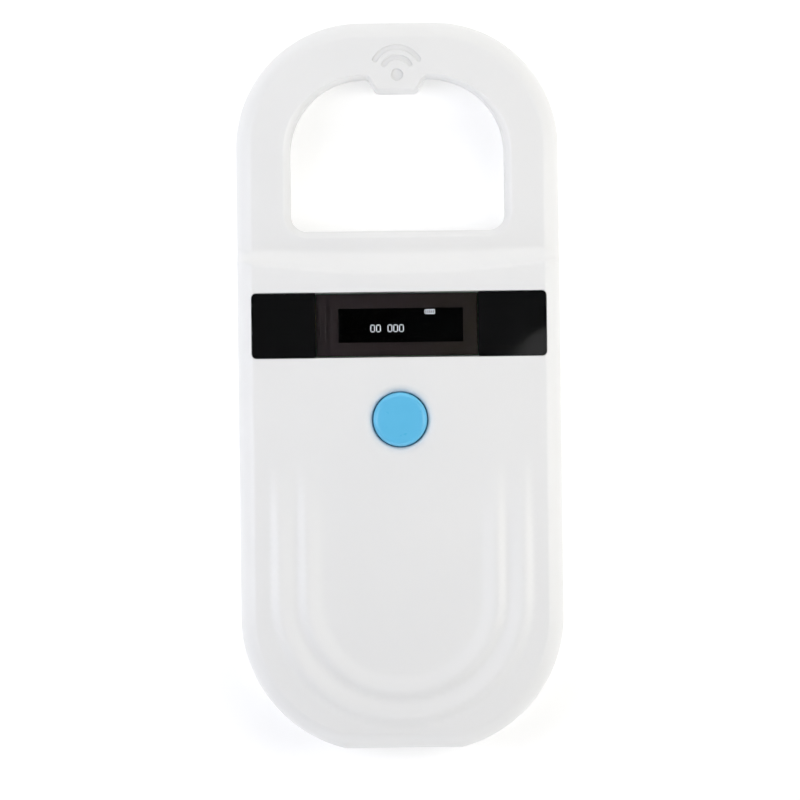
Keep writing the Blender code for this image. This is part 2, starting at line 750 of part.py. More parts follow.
def cell():
    centre = (0, CELL_Y, CELL_LOW + CELL[2] / 2)
    box("battery_cell", centre, CELL, pouch_foil(), 1.2)
    box("battery_pad", (0, CELL_Y, WALL + 0.2), (26.0, 40.0, 0.3), black_plastic())
    header_x, header_y = -9.0, 11.0
    header_z = BOARD_BACK - 0.1 - 2.4
    header = box("battery_header", (header_x, header_y, header_z), (7.4, 6.0, 4.8), white_abs(), 0.2)
    cut(header, box("header_room", (header_x, header_y - 1.4, header_z), (5.8, 5.0, 3.4)))
    box("battery_plug", (header_x, header_y - 2.4, header_z), (5.4, 6.4, 3.0), white_abs(), 0.2)
    lead_looks = (("red", 1.0, (0.6, 0.02, 0.02)), ("black", -1.0, (0.02, 0.02, 0.02)))
    for colour, side, rgb in lead_looks:
        plug_y = header_y - 5.9
        route = [
            (header_x + side, plug_y, header_z),
            (header_x + side, plug_y - 1.6, header_z),
            (header_x + 1.5 * side + 1.5, plug_y - 3.0, header_z - 0.4),
            (header_x + 2 * side + 3.0, plug_y - 4.2, header_z - 1.2),
            (header_x + 2 * side + 3.5, CELL_Y + CELL[1] / 2 + 0.3, CELL_LOW + CELL[2] / 2),
        ]
        lead(f"battery_lead_{colour}", route, 0.5, material(f"{colour}_wire", rgb, 0.5))


# ---------------------------------------------------------------- antenna coil


def coil_outline(outset):
    """The coil's path round the loop: parallel to the case at the top, squarer at the bottom."""
    side_x = WIDTH / 2 - COIL_INSET + outset
    top_radius = TOP_RADIUS - COIL_INSET + outset
    end_radius = COIL_END_RADIUS + outset
    end_centre = (WIDTH / 2 - COIL_INSET - COIL_END_RADIUS, COIL_LOW_Y + COIL_END_RADIUS)
    right = arc(end_centre, end_radius, -90, 0, 4)
    right += [(side_x, (end_centre[1] + TOP_CENTRE[1]) / 2)]
    right += arc(TOP_CENTRE, top_radius, 0, 90, 8)
    return right + [(-x, y) for x, y in reversed(right)]


def antenna_coil():
    bm = bmesh.new()
    low, high = COIL_Z
    half = COIL_WIDTH / 2
    corners = [(-half, low), (half, low), (half, high), (-half, high), (-half, low)]
    wall(bm, coil_outline, [(outset, level(z)) for outset, z in corners])
    mesh_object("antenna_coil", bm, copper())
    coil_tapes()
    for side, x in (("start", 3.5), ("end", 6.5)):
        route = [
            (x, COIL_LOW_Y - half - 0.5, high - 1.0),
            (x, COIL_LOW_Y - half - 1.5, high - 0.6),
            (x, COIL_LOW_Y - half - 3.0, high + 0.6),
            (x, 19.6, BOARD_TOP + 1.2),
            (x, 18.9, BOARD_TOP + 0.6),
        ]
        lead(f"coil_lead_{side}", route, 0.4, copper())


def coil_tapes():
    """Film wrapped round the bundle of turns at four places."""
    slack = 0.05
    middle_z = sum(COIL_Z) / 2
    for number, (x, y, along) in enumerate(COIL_TAPES, 1):
        inner = (COIL_WIDTH + 2 * slack, COIL_Z[1] - COIL_Z[0] + 2 * slack)
        outer = [side + 2 * COIL_TAPE_THICKNESS for side in inner]
        outer_size = (outer[0], COIL_TAPE_LENGTH, outer[1])
        inner_size = (inner[0], COIL_TAPE_LENGTH + 2, inner[1])
        if along == "X":
            outer_size = (outer_size[1], outer_size[0], outer_size[2])
            inner_size = (inner_size[1], inner_size[0], inner_size[2])
        wrap = box(f"coil_tape_{number}", (x, y, middle_z), outer_size, amber_film())
        cut(wrap, box(f"coil_tape_room_{number}", (x, y, middle_z), inner_size))


# ---------------------------------------------------------------- fasteners and label


def screw(name, place, bearing_z, length, radius, head_radius, head_height):
    """A pan-head screw, driven from the back, whose head bears at bearing_z."""
    head_low = bearing_z - head_height
    tip_z = bearing_z + length
    profile = [(0, tip_z), (radius * 0.5, tip_z), (radius, tip_z - radius)]
    profile += [(radius, bearing_z), (head_radius, bearing_z), (head_radius, head_low + 0.5)]
    profile += [(head_radius - 0.5, head_low), (0, head_low)]
    made = turned(name, profile, (*place, 0), steel(), 16)
    for axis, size in (("x", (2.2, 0.5, 1.6)), ("y", (0.5, 2.2, 1.6))):
        cut(made, box(f"{name}_drive_{axis}", (*place, head_low), size))


def fasteners():
    for number, place in enumerate(CASE_SCREWS, 1):
        bearing = seat_z(place) - SCREW_SLACK
        screw(f"case_screw_{number}", place, bearing, SCREW_LENGTH, SCREW_RADIUS, HEAD_RADIUS, HEAD_HEIGHT)
    for number, place in enumerate(BOARD_SCREWS, 1):
        screw(f"board_screw_{number}", place, BOARD_BACK - SCREW_SLACK, 5.0, 0.8, 1.6, 1.2)


def rear_label():
    centre = (0, LABEL_Y, LABEL_RECESS - 0.05 - LABEL[2] / 2)
    upright_box("rear_label", centre, LABEL, 1.0, material("label_film", (0.55, 0.56, 0.58), 0.4))


def main():
    clear_object_list()
    front_cover()
    back_cover()
    display()
    scan_button()
    tactile_switch()
    main_board()
    board_parts()
    charging_socket()
    cell()
    antenna_coil()
    fasteners()
    rear_label()


main()
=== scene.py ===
"""Looks for a handheld pet microchip scanner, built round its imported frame.

The object lies on its back: +Y runs from the charging end to the antenna loop and +Z is the
side with the display and the button. Lengths are in millimetres, and make() turns them into
metres. Colours are linear.
"""

import math

import bmesh
import bpy
import numpy as np
from mathutils import Matrix, Vector
from mathutils.geometry import delaunay_2d_cdt


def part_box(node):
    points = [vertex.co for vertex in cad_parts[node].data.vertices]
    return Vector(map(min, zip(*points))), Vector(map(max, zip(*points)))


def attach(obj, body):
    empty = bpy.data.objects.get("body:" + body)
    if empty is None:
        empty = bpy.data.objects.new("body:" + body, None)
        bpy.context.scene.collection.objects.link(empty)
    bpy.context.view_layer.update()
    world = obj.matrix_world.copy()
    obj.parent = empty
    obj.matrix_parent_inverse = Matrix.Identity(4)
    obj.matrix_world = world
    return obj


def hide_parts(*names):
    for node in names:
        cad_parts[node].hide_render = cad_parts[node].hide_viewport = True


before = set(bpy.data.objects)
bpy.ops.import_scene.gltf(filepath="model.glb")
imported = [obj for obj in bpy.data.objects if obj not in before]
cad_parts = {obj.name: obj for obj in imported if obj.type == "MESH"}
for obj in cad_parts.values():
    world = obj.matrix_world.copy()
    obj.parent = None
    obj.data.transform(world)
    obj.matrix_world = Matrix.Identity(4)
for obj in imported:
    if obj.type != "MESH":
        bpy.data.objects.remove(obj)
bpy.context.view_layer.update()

MM = 0.001
ROOT = "casing"


def span(node):
    """The lowest and highest corners of a CAD node, in millimetres."""
    low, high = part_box(node)
    return Vector(low) / MM, Vector(high) / MM


def middle(node):
    """The middle of a CAD node, seen from above."""
    low, high = span(node)
    return ((low.x + high.x) / 2, (low.y + high.y) / 2)


# Outside shape, as in the CAD
CASE_LOW, CASE_HIGH = span("front_cover")
LENGTH = CASE_HIGH.y - CASE_LOW.y
WIDTH = CASE_HIGH.x - CASE_LOW.x
THICKNESS = 20.0
PARTING_Z = 9.4
TOP_RADIUS = 23.2
END_RADIUS = 25.3
END_CUT = 0.75
FRONT_FILLET = 3.0
BACK_FILLET = 4.0
WALL = 2.0
INNER_FILLET = 1.0
TOP_CENTRE = (WIDTH / 2 - TOP_RADIUS, LENGTH / 2 - TOP_RADIUS)
END_CENTRE = (WIDTH / 2 - END_RADIUS, END_RADIUS - END_CUT - LENGTH / 2)

# Antenna loop
LOOP_FRONT = 17.4
LOOP_BACK = 3.0
HOLE_X = 20.0
HOLE_LOW = 28.7
HOLE_HIGH = 57.3
HOLE_TOP_RADIUS = 14.0
HOLE_END_RADIUS = 3.2
HOLE_FILLET = 1.3
RIM_NARROWS = (48.0, 56.0)
RIM_AT_TAB = 0.35
HOLE_WALL = 1.6
TAB_ROOT_X = 5.3
TAB_END_X = 3.85
TAB_DEPTH = 2.7
TAB_RADII = (0.9, 1.1)
RAMP_FOOT_Y = 25.4
RAMP_CREST_Y = 20.9
RAMP_BOW = 2.4
RAMP_POWER = 1.8
CREST_SOFTNESS = 0.14

# Slopes of the rounded edges where they leave the face and where they meet the side, in degrees
EDGE_SLOPES = (12.0, 90.0)
RIM_SLOPES = (22.0, 52.0)

# Grip ridges
RIDGE_CENTRE_Y = -39.8
RIDGE_RADII = (17.2, 22.1)
RIDGE_SPREAD = 0.97
RIDGE_HEIGHT = 0.44
RIDGE_RISE = 3.3
RIDGE_FALL = 1.7
RIDGE_FADE = (-9.0, -32.0)

# Pressed-in radio sign on the loop
SIGN_CENTRE = (0.15, 58.1)
SIGN_DOT_CENTRE = (0.15, 57.75)
SIGN_DOT = 1.08
SIGN_ARCS = ((2.86, 0.42), (4.74, 0.44))
SIGN_HALF_ANGLE = 58.5
SIGN_DEPTH = 0.42
SIGN_DOT_DEPTH = 0.6
SIGN_MOUTH = 0.2

# Seam between the shells
SEAM_GAP = 0.1
SEAM_ROUND = 0.22
LIP_INSET = 1.1
LIP_HEIGHT = 1.3
LIP_CLEARANCE = 0.15
HOLE_LIP_INSET = 0.8

# Half the width of the antenna coil's bundle of turns, and one turn's wire
COIL_HALF = 1.2
COIL_WIRE = 0.4

# Window, panel, button, socket, board, label and screws, placed by the CAD's boxes
LENS_LOW, LENS_HIGH = span("display_lens")
WINDOW_Y = middle("display_lens")[1]
WINDOW_RADIUS = 0.9
WINDOW_GAP = 0.06
POCKET_FLOOR = THICKNESS - 1.2
PANEL_LOW, PANEL_HIGH = span("oled_panel")
PANEL_X = middle("oled_panel")[0]
BUTTON_LOW, BUTTON_HIGH = span("scan_button")
BUTTON_Y = middle("scan_button")[1]
BUTTON_RADIUS = 5.0
BUTTON_HOLE_RADIUS = 5.18
SOCKET_LOW, SOCKET_HIGH = span("socket_shell")
SOCKET_Z = (SOCKET_LOW.z + SOCKET_HIGH.z) / 2
BOARD_TOP = span("main_board")[1].z
LABEL_LOW, LABEL_HIGH = span("rear_label")
LABEL_Y = middle("rear_label")[1]
CASE_SCREWS = [f"case_screw_{number}" for number in range(1, 6)]
BOARD_SCREWS = [f"board_screw_{number}" for number in range(1, 4)]


# ---------------------------------------------------------------- plan outlines


def arc(centre, radius, start, end, steps):
    """Points along an arc, between two angles in degrees."""
    turns = [math.radians(start + (end - start) * step / steps) for step in range(steps + 1)]
    return [(centre[0] + radius * math.cos(turn), centre[1] + radius * math.sin(turn)) for turn in turns]


def circle(centre, radius, steps):
    """outline(outset) of a circle."""
    return lambda outset: arc(centre, radius + outset, 0, 360 - 360 / steps, steps - 1)


def mirrored(right):
    """The right half of an outline and, in turn, its mirror image."""
    return right + [(-x, y) for x, y in reversed(right)]


def side_stations():
    """Y of the points along a straight side, close together beside the ramp."""
    low, high = END_CENTRE[1], TOP_CENTRE[1]
    body = np.linspace(low, RAMP_CREST_Y - 1, 36)[1:]
    ramp = np.linspace(RAMP_CREST_Y - 1, RAMP_FOOT_Y + 0.6, 27)[1:]
    loop = np.linspace(RAMP_FOOT_Y + 0.6, high, 12)[1:-1]
    return [float(y) for y in (*body, *ramp, *loop)]


def case_outline(inset):
    """The case's outline moved inwards, anticlockwise."""
    end_radius = END_RADIUS - inset
    cut_angle = math.degrees(math.acos((end_radius - END_CUT) / end_radius))
    right = [(end_radius * math.sin(math.radians(cut_angle)) * share + END_CENTRE[0] * share,
              inset - LENGTH / 2) for share in (0.25, 0.5, 0.75)]
    right += arc(END_CENTRE, end_radius, cut_angle - 90, 0, 40)
    right += [(WIDTH / 2 - inset, y) for y in side_stations()]
    right += arc(TOP_CENTRE, TOP_RADIUS - inset, 0, 90, 40)
    right += [(TOP_CENTRE[0] / 2, LENGTH / 2 - inset)]
    return mirrored(right)


def rounded_polygon(corners, radii, steps, outset):
    """An anticlockwise polygon moved outwards, with each corner rounded by its own radius."""
    count = len(corners)
    points = []
    for i in range(count):
        here = Vector(corners[i])
        came = (here - Vector(corners[i - 1])).normalized()
        goes = (Vector(corners[(i + 1) % count]) - here).normalized()
        turn = math.atan2(came.x * goes.y - came.y * goes.x, came.dot(goes))
        outward = (Vector((came.y, -came.x)) + Vector((goes.y, -goes.x))).normalized()
        tip = here + outward * (outset / math.cos(turn / 2))
        side = math.copysign(1.0, turn)
        radius = max(radii[i] + side * outset, 0.0)
        centre = tip - outward * side * (radius / math.cos(turn / 2))
        first = math.degrees(math.atan2(-came.x * side, came.y * side))
        points += arc(centre, radius, first, first + math.degrees(turn), steps[i])
    return points


def hole_outline(outset):
    """The loop's opening, with the tab that hangs into it from the top, moved outwards."""
    tab_low = HOLE_HIGH - TAB_DEPTH
    right = [(HOLE_X, HOLE_LOW), (HOLE_X, HOLE_HIGH), (TAB_ROOT_X, HOLE_HIGH), (TAB_END_X, tab_low)]
    radii = [HOLE_END_RADIUS, HOLE_TOP_RADIUS, *TAB_RADII]
    steps = [12, 30, 6, 6]
    return rounded_polygon(mirrored(right), radii + radii[::-1], steps + steps[::-1], outset)


def rim_outline(outset):
    """The opening moved outwards for its rounded rim, which is narrower round the tab."""
    low, high = RIM_NARROWS
    points = []
    for near, far in zip(hole_outline(0.0), hole_outline(outset)):
        share = 1 - (1 - RIM_AT_TAB) * ease((near[1] - low) / (high - low))
        points.append(tuple(Vector(near).lerp(Vector(far), share)))
    return points


def rectangle(centre, width, height, radius, steps=6):
    """outline(outset) of a rounded rectangle."""
    x, y = centre
    corners = [
        (x - width / 2, y - height / 2),
        (x + width / 2, y - height / 2),
        (x + width / 2, y + height / 2),
        (x - width / 2, y + height / 2),
    ]
    return lambda outset: rounded_polygon(corners, [radius] * 4, [steps] * 4, outset)


def sign_band(radius, half):
    """outline(outset) of one curved bar of the radio sign, with round ends."""

    def outline(outset):
        wide = half + outset
        low, high = 90 - SIGN_HALF_ANGLE, 90 + SIGN_HALF_ANGLE
        points = arc(SIGN_CENTRE, radius + wide, low, high, 24)
        for angle, start in ((high, high), (low, low + 180)):
            turn = math.radians(angle)
            tip = (SIGN_CENTRE[0] + radius * math.cos(turn), SIGN_CENTRE[1] + radius * math.sin(turn))
            points += arc(tip, wide, start, start + 180, 8)[1:-1]
            if angle == high:
                points += arc(SIGN_CENTRE, radius - wide, high, low, 24)
        return points

    return outline


# ---------------------------------------------------------------- heights of the faces


def ease(share):
    """A smooth step from 0 to 1."""
    share = min(1.0, max(0.0, share))
    return share * share * (3 - 2 * share)


def body_share(x, y):
    """0 on the loop, 1 on the body, and between them on the ramp."""
    crest = RAMP_CREST_Y + RAMP_BOW * (2 * x / WIDTH) ** 2
    rise = max(0.0, (RAMP_FOOT_Y - y) / (RAMP_FOOT_Y - crest)) ** RAMP_POWER
    return 1 - (1 - rise + math.hypot(1 - rise, CREST_SOFTNESS)) / 2


def ridge_share(x, y):
    """Ridges that rise gently from the middle of the grip and fall more steeply outside."""
    x *= RIDGE_SPREAD
    across = abs(x) if y > RIDGE_CENTRE_Y else math.hypot(x, y - RIDGE_CENTRE_Y)
    return max(ease(1 - max((radius - across) / RIDGE_RISE, (across - radius) / RIDGE_FALL))
               for radius in RIDGE_RADII)


def front_height(x, y):
    fade = ease((RIDGE_FADE[0] - y) / (RIDGE_FADE[0] - RIDGE_FADE[1]))
    step = (THICKNESS - LOOP_FRONT) * body_share(x, y)
    return LOOP_FRONT + step + RIDGE_HEIGHT * fade * ridge_share(x, y)


def back_height(x, y):
    return LOOP_BACK * (1 - body_share(x, y))


def level(z):
    """A height function that is flat."""
    return lambda x, y: z


# ---------------------------------------------------------------- mesh tools


def loft(bm, rings, caps=False):
    """Quads from each closed ring of points to the next, and a face over each end if asked."""
    made = [[bm.verts.new(point) for point in points] for points in rings]
    for lower, upper in zip(made, made[1:]):
        for i in range(len(lower)):
            j = (i + 1) % len(lower)
            bm.faces.new((lower[i], lower[j], upper[j], upper[i]))
    if caps:
        bm.faces.new(made[0])
        bm.faces.new(made[-1])
    return made


def skin(bm, stations, lying=False):
    """A capped solid through (outline, outset, place) stations, along Z or, lying, along Y."""
    rings = []
    for outline, outset, place in stations:
        ring = outline(outset)
        rings.append([(x, place, y) if lying else (x, y, place) for x, y in ring])
    loft(bm, rings, caps=True)


def stack(bm, outline, stations, lying=False):
    """The same through (outset, place) stations of one outline."""
    skin(bm, [(outline, outset, place) for outset, place in stations], lying)


def round_off(width, steps, slopes=(0.0, 90.0)):
    """(inset, drop) pairs round an edge, from its slope at the face to its slope at the side."""
    first, last = (math.radians(slope) for slope in slopes)
    radius = width / (math.sin(last) - math.sin(first))
    turns = [first + (last - first) * step / steps for step in range(steps + 1)]
    return [(radius * (math.sin(last) - math.sin(turn)), radius * (math.cos(first) - math.cos(turn)))
            for turn in turns]


def wall(bm, stations):
    """An open surface through (outline, outset, height function) stations."""
    loft(bm, [[(x, y, height(x, y)) for x, y in outline(outset)] for outline, outset, height in stations])


def within(points, outline):
    """Even-odd test of many points against one outline."""
    ring = np.array(outline)
    ahead = np.roll(ring, -1, axis=0)
    x, y = points[:, 0:1], points[:, 1:2]
    crosses = (ring[:, 1] > y) != (ahead[:, 1] > y)
    rise = np.where(ahead[:, 1] == ring[:, 1], 1.0, ahead[:, 1] - ring[:, 1])
    at = ring[:, 0] + (y - ring[:, 1]) * (ahead[:, 0] - ring[:, 0]) / rise
    return (np.sum(crosses & (x < at), axis=1) % 2).astype(bool)


def fill(bm, border, hole, spacing, height):
    """Triangles between a border and a hole, on a staggered grid lifted to the height."""
    xs = np.arange(-WIDTH / 2, WIDTH / 2 + spacing, spacing)
    ys = np.arange(-LENGTH / 2, LENGTH / 2 + spacing, spacing * 0.87)
    grid = np.array([(x + (row % 2) * spacing / 2, y) for row, y in enumerate(ys) for x in xs])
    clear = 0.45 * spacing
    keep = np.ones(len(grid), bool)
    for ring in (border, hole):
        ways = grid[:, None, :] - np.array(ring)[None, :, :]
        keep &= np.min(np.hypot(ways[..., 0], ways[..., 1]), axis=1) > clear
    keep &= within(grid, border) & ~within(grid, hole)
    flat = [Vector(p) for p in [*border, *hole, *grid[keep].tolist()]]
    loops = []
    for start, size in ((0, len(border)), (len(border), len(hole))):
        loops += [(start + i, start + (i + 1) % size) for i in range(size)]
    points, _, faces, *_ = delaunay_2d_cdt(flat, loops, [], 0, 1e-6)
    verts = [bm.verts.new((p.x, p.y, height(p.x, p.y))) for p in points]
    middles = np.array([sum((points[c] for c in corners), Vector((0, 0))) / 3 for corners in faces])
    solid = within(middles, border) & ~within(middles, hole)
    for corners, wanted in zip(faces, solid):
        if wanted:
            bm.faces.new([verts[c] for c in corners])


def pit(bm, outline, face_z, depth, mouth, sign=1, steps=4):
    """A cutter for a pit with a rounded mouth in a flat face that looks along sign * Z."""
    stations = [(mouth + 0.4, 0.7), (mouth, 0.001)]
    stations += [(inset, -drop) for inset, drop in round_off(mouth, steps)[1:]]
    stations.append((0.0, -depth))
    stack(bm, outline, [(outset, face_z + sign * rise) for outset, rise in stations])


def post(bm, outline, low, high):
    """A plain upright solid with this outline."""
    stack(bm, outline, [(0.0, low), (0.0, high)])


def slab(bm, outline, low, high, edge, lying=False):
    """An upright solid with rounded rims, or a lying one whose rims face along Y."""
    rim = round_off(edge, 3)
    stations = [(-inset, low + drop) for inset, drop in rim]
    stations += [(-inset, high - drop) for inset, drop in rim[::-1]]
    stack(bm, outline, stations, lying)


def lathe(bm, profile, centre, segments):
    """Adds a solid of revolution about Z: profile is (radius, z) from the axis out and back."""
    rings = [[(x, y, z) for x, y in circle(centre, radius, segments)(0.0)] for radius, z in profile[1:-1]]
    made = loft(bm, rings)
    for ring, (_, z) in ((made[0], profile[0]), (made[-1], profile[-1])):
        tip = bm.verts.new((*centre, z))
        for i in range(segments):
            bm.faces.new((tip, ring[i], ring[(i + 1) % segments]))


def box(bm, low, high, bevel=0.0, segments=2):
    """Adds a box, with rounded edges if asked."""
    low, high = Vector(low), Vector(high)
    place = Matrix.Translation((low + high) / 2) @ Matrix.Diagonal((*(high - low), 1.0))
    verts = bmesh.ops.create_cube(bm, size=1.0, matrix=place)["verts"]
    if bevel:
        edges = list({edge for vert in verts for edge in vert.link_edges})
        bmesh.ops.bevel(bm, geom=edges, offset=bevel, segments=segments, profile=0.5, affect="EDGES")


def crease(mesh, angle=35.0):
    """Smooth shading, with creases where faces meet at more than this angle."""
    mesh.shade_smooth()
    mesh.set_sharp_from_angle(angle=math.radians(angle))


def make(name, bm, *looks, angle=35.0):
    """Turns a bmesh in millimetres into an object in metres, creased round its flat caps."""
    bmesh.ops.remove_doubles(bm, verts=bm.verts, dist=1e-4)
    bmesh.ops.recalc_face_normals(bm, faces=bm.faces)
    bmesh.ops.scale(bm, verts=bm.verts, vec=(MM, MM, MM))
    mesh = bpy.data.meshes.new(name)
    bm.to_mesh(mesh)
    bm.free()
    crease(mesh, angle)
    caps = {key for face in mesh.polygons if len(face.vertices) > 8 for key in face.edge_keys}
    for edge in mesh.edges:
        edge.use_edge_sharp |= edge.key in caps
    made = bpy.data.objects.new(name, mesh)
    bpy.context.scene.collection.objects.link(made)
    for look in looks:
        mesh.materials.append(look)
    return made


def settle(made, slot, *nodes, body=ROOT):
    """Sets a piece on its body and hides the CAD nodes that it stands for."""
    if nodes:
        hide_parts(*nodes)
    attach(made, body)
    return made


def place_piece(name, bm, look, slot, *nodes, body=ROOT, angle=35.0):
    """Makes a piece with one look and settles it."""
    return settle(make(name, bm, look, angle=angle), slot, *nodes, body=body)


def carve(target, operation, bm):
    """Applies an exact Boolean with the solids in bm, which become its tool."""
    tool = make("tool", bm)
    step = target.modifiers.new("step", "BOOLEAN")
    step.operation = operation
    step.solver = "EXACT"
    step.object = tool
    graph = bpy.context.evaluated_depsgraph_get()
    result = bpy.data.meshes.new_from_object(target.evaluated_get(graph))
    target.modifiers.clear()
    old = target.data
    target.data = result
    result.name = target.name
    bpy.data.meshes.remove(old)
    bpy.data.meshes.remove(tool.data)


def true_normals(target, height, sign):
    """Shades the corners that lie on a height function with the function's own normal."""
    mesh = target.data
    crease(mesh)
    count = len(mesh.vertices)
    points = np.empty(count * 3)
    mesh.vertices.foreach_get("co", points)
    points = points.reshape(-1, 3) / MM
    exact = np.zeros((count, 3))
    step = 0.02
    for i, (x, y, z) in enumerate(points):
        here = height(x, y)
        if abs(z - here) > 0.01:
            continue
        slope_x = (height(x + step, y) - height(x - step, y)) / (2 * step)
        slope_y = (height(x, y + step) - height(x, y - step)) / (2 * step)
        exact[i] = Vector((-slope_x, -slope_y, 1)).normalized() * sign
    corners = np.empty(len(mesh.loops), int)
    mesh.loops.foreach_get("vertex_index", corners)
    sizes = np.empty(len(mesh.polygons), int)
    mesh.polygons.foreach_get("loop_total", sizes)
    faces = np.empty(len(mesh.polygons) * 3)
    mesh.polygons.foreach_get("normal", faces)
    facing = np.repeat(faces.reshape(-1, 3), sizes, axis=0)
    wanted = exact[corners]
    wanted[np.sum(wanted * facing, axis=1) < 0.93] = 0.0
    mesh.normals_split_custom_set(wanted.tolist())


# ---------------------------------------------------------------- materials


def set_stops(ramp, stops):
    """Gives a colour ramp its (position, value or colour) stops."""
    while len(ramp.elements) < len(stops):
        ramp.elements.new(0.5)
    for element, (position, value) in zip(ramp.elements, stops):
        element.position = position
        element.color = (value, value, value, 1.0) if isinstance(value, float) else (*value, 1.0)


class Paint:
    """A material, with short calls for the nodes that the looks here use."""

    def __init__(self, name, colour, roughness, metallic=0.0):
        self.material = bpy.data.materials.new(name)
        self.material.use_nodes = True
        self.tree = self.material.node_tree
        self.shader = self.tree.nodes["Principled BSDF"]
        self.set("Base Color", (*colour, 1.0))
        self.set("Roughness", roughness)
        self.set("Metallic", metallic)
        self.place = self.add("ShaderNodeTexCoord").outputs["Object"]

    def feed(self, slot, value):
        """Links a socket to an input, or sets the input's own value."""
        if isinstance(value, bpy.types.NodeSocket):
            self.tree.links.new(value, slot)
        else:
            slot.default_value = value

    def set(self, socket, value):
        self.feed(self.shader.inputs[socket], value)

    def add(self, kind, inputs=(), **settings):
        """A node with these inputs, each a value or a socket, and these settings."""
        node = self.tree.nodes.new(kind)
        for key, value in settings.items():
            setattr(node, key, value)
        for name, value in dict(inputs).items():
            self.feed(node.inputs[name], value)
        return node

    def stretched(self, scale, turn=(0.0, 0.0, 0.0)):
        """The place, turned and scaled."""
        inputs = {"Vector": self.place, "Rotation": turn, "Scale": scale}
        return self.add("ShaderNodeMapping", inputs).outputs[0]

    def noise(self, size, detail=3.0, roughness=0.5, place=None):
        """Noise whose blotches are about this many millimetres across."""
        inputs = {"Scale": 1 / (size * MM), "Detail": detail, "Roughness": roughness}
        return self.add("ShaderNodeTexNoise", {"Vector": place or self.place, **inputs}).outputs["Fac"]

    def ramp(self, source, *stops):
        """Maps a value through (position, value or colour) stops."""
        node = self.add("ShaderNodeValToRGB", {"Fac": source})
        set_stops(node.color_ramp, stops)
        return node.outputs["Color"]

    def tint(self, size, low, high, detail=3.0):
        """A colour that wanders between two colours."""
        self.set("Base Color", self.blend(self.noise(size, detail), low, high))

    def gloss(self, size, smooth, rough, detail=3.0, roughness=0.5, stop=0.7):
        """A roughness that wanders between two values."""
        source = self.noise(size, detail, roughness)
        self.set("Roughness", self.ramp(source, (0.3, smooth), (stop, rough)))

    def math(self, operation, *values, clamp=False):
        node = self.add("ShaderNodeMath", enumerate(values), operation=operation, use_clamp=clamp)
        return node.outputs[0]

    def blend(self, share, low, high):
        """Mixes two colours, each a colour or a socket, by a share."""
        low, high = ((*colour, 1.0) if isinstance(colour, tuple) else colour for colour in (low, high))
        return self.add("ShaderNodeMix", {0: share, 6: low, 7: high}, data_type="RGBA").outputs[2]

    def bump(self, height, depth):
        """Bump whose full height is this many millimetres."""
        node = self.add("ShaderNodeBump", {"Height": height, "Strength": 1.0, "Distance": depth * MM})
        earlier = self.shader.inputs["Normal"].links
        if earlier:
            self.tree.links.new(earlier[0].from_socket, node.inputs["Normal"])
        self.set("Normal", node.outputs["Normal"])

    def axis(self, letter):
        """One coordinate of the place, in millimetres."""
        split = self.add("ShaderNodeSeparateXYZ", {"Vector": self.place})
        return self.math("DIVIDE", split.outputs[letter], MM)

    def band(self, letter, low, high, soft=0.05):
        """1 between two coordinates, and 0 outside them."""
        value = self.axis(letter)
        rise = self.math("DIVIDE", self.math("SUBTRACT", value, low), soft, clamp=True)
        fall = self.math("DIVIDE", self.math("SUBTRACT", high, value), soft, clamp=True)
        return self.math("MULTIPLY", rise, fall)


def case_white(name="case_white"):
    """Moulded white ABS: a fine grain, faint flow clouds, and soft handling marks on its back."""
    look = Paint(name, (0.80, 0.80, 0.795), 0.36)
    clouds = look.noise(22.0, 4.0, 0.55)
    look.set("Base Color", look.blend(clouds, (0.775, 0.778, 0.780), (0.815, 0.815, 0.812)))
    fingers = look.ramp(look.noise(9.0, 3.0, 0.6), (0.35, 0.33), (0.75, 0.42))
    streaks = look.noise(1.4, 2.0, 0.5, look.stretched((0.12, 1.0, 1.0), (0.0, 0.0, 0.5)))
    low = look.math("SUBTRACT", 1.0, look.math("DIVIDE", look.axis("Z"), 2.5, clamp=True))
    rubbed = look.math("MULTIPLY", look.ramp(streaks, (0.55, 0.0), (0.72, 1.0)), low)
    look.set("Roughness", look.math("ADD", fingers, look.math("MULTIPLY", rubbed, 0.12)))
    look.bump(look.noise(0.22, 2.0, 0.6), 0.004)
    look.bump(rubbed, 0.01)
    look.set("Subsurface Weight", 0.06)
    look.set("Subsurface Radius", (1.2 * MM, 1.1 * MM, 1.0 * MM))
    return look.material


def button_blue():
    """Satin blue ABS, a little glossier where thumbs have polished it."""
    look = Paint("button_blue", (0.11, 0.49, 0.77), 0.38)
    look.tint(3.5, (0.098, 0.475, 0.765), (0.118, 0.505, 0.79))
    look.gloss(2.2, 0.27, 0.31, 4.0, 0.6)
    look.bump(look.noise(0.16, 2.0, 0.6), 0.0012)
    return look.material


def clear_acrylic():
    look = Paint("clear_acrylic", (0.93, 0.94, 0.95), 0.03)
    look.set("Transmission Weight", 1.0)
    look.set("IOR", 1.49)
    look.gloss(6.0, 0.015, 0.05, 4.0, 0.6, 0.8)
    return look.material


def print_black():
    """The ink behind the window."""
    look = Paint("print_black", (0.0125, 0.0125, 0.013), 0.5)
    look.gloss(0.3, 0.4, 0.6, 2.0)
    look.bump(look.noise(0.1, 2.0, 0.6), 0.003)
    look.set("Specular IOR Level", 0.0)
    return look.material


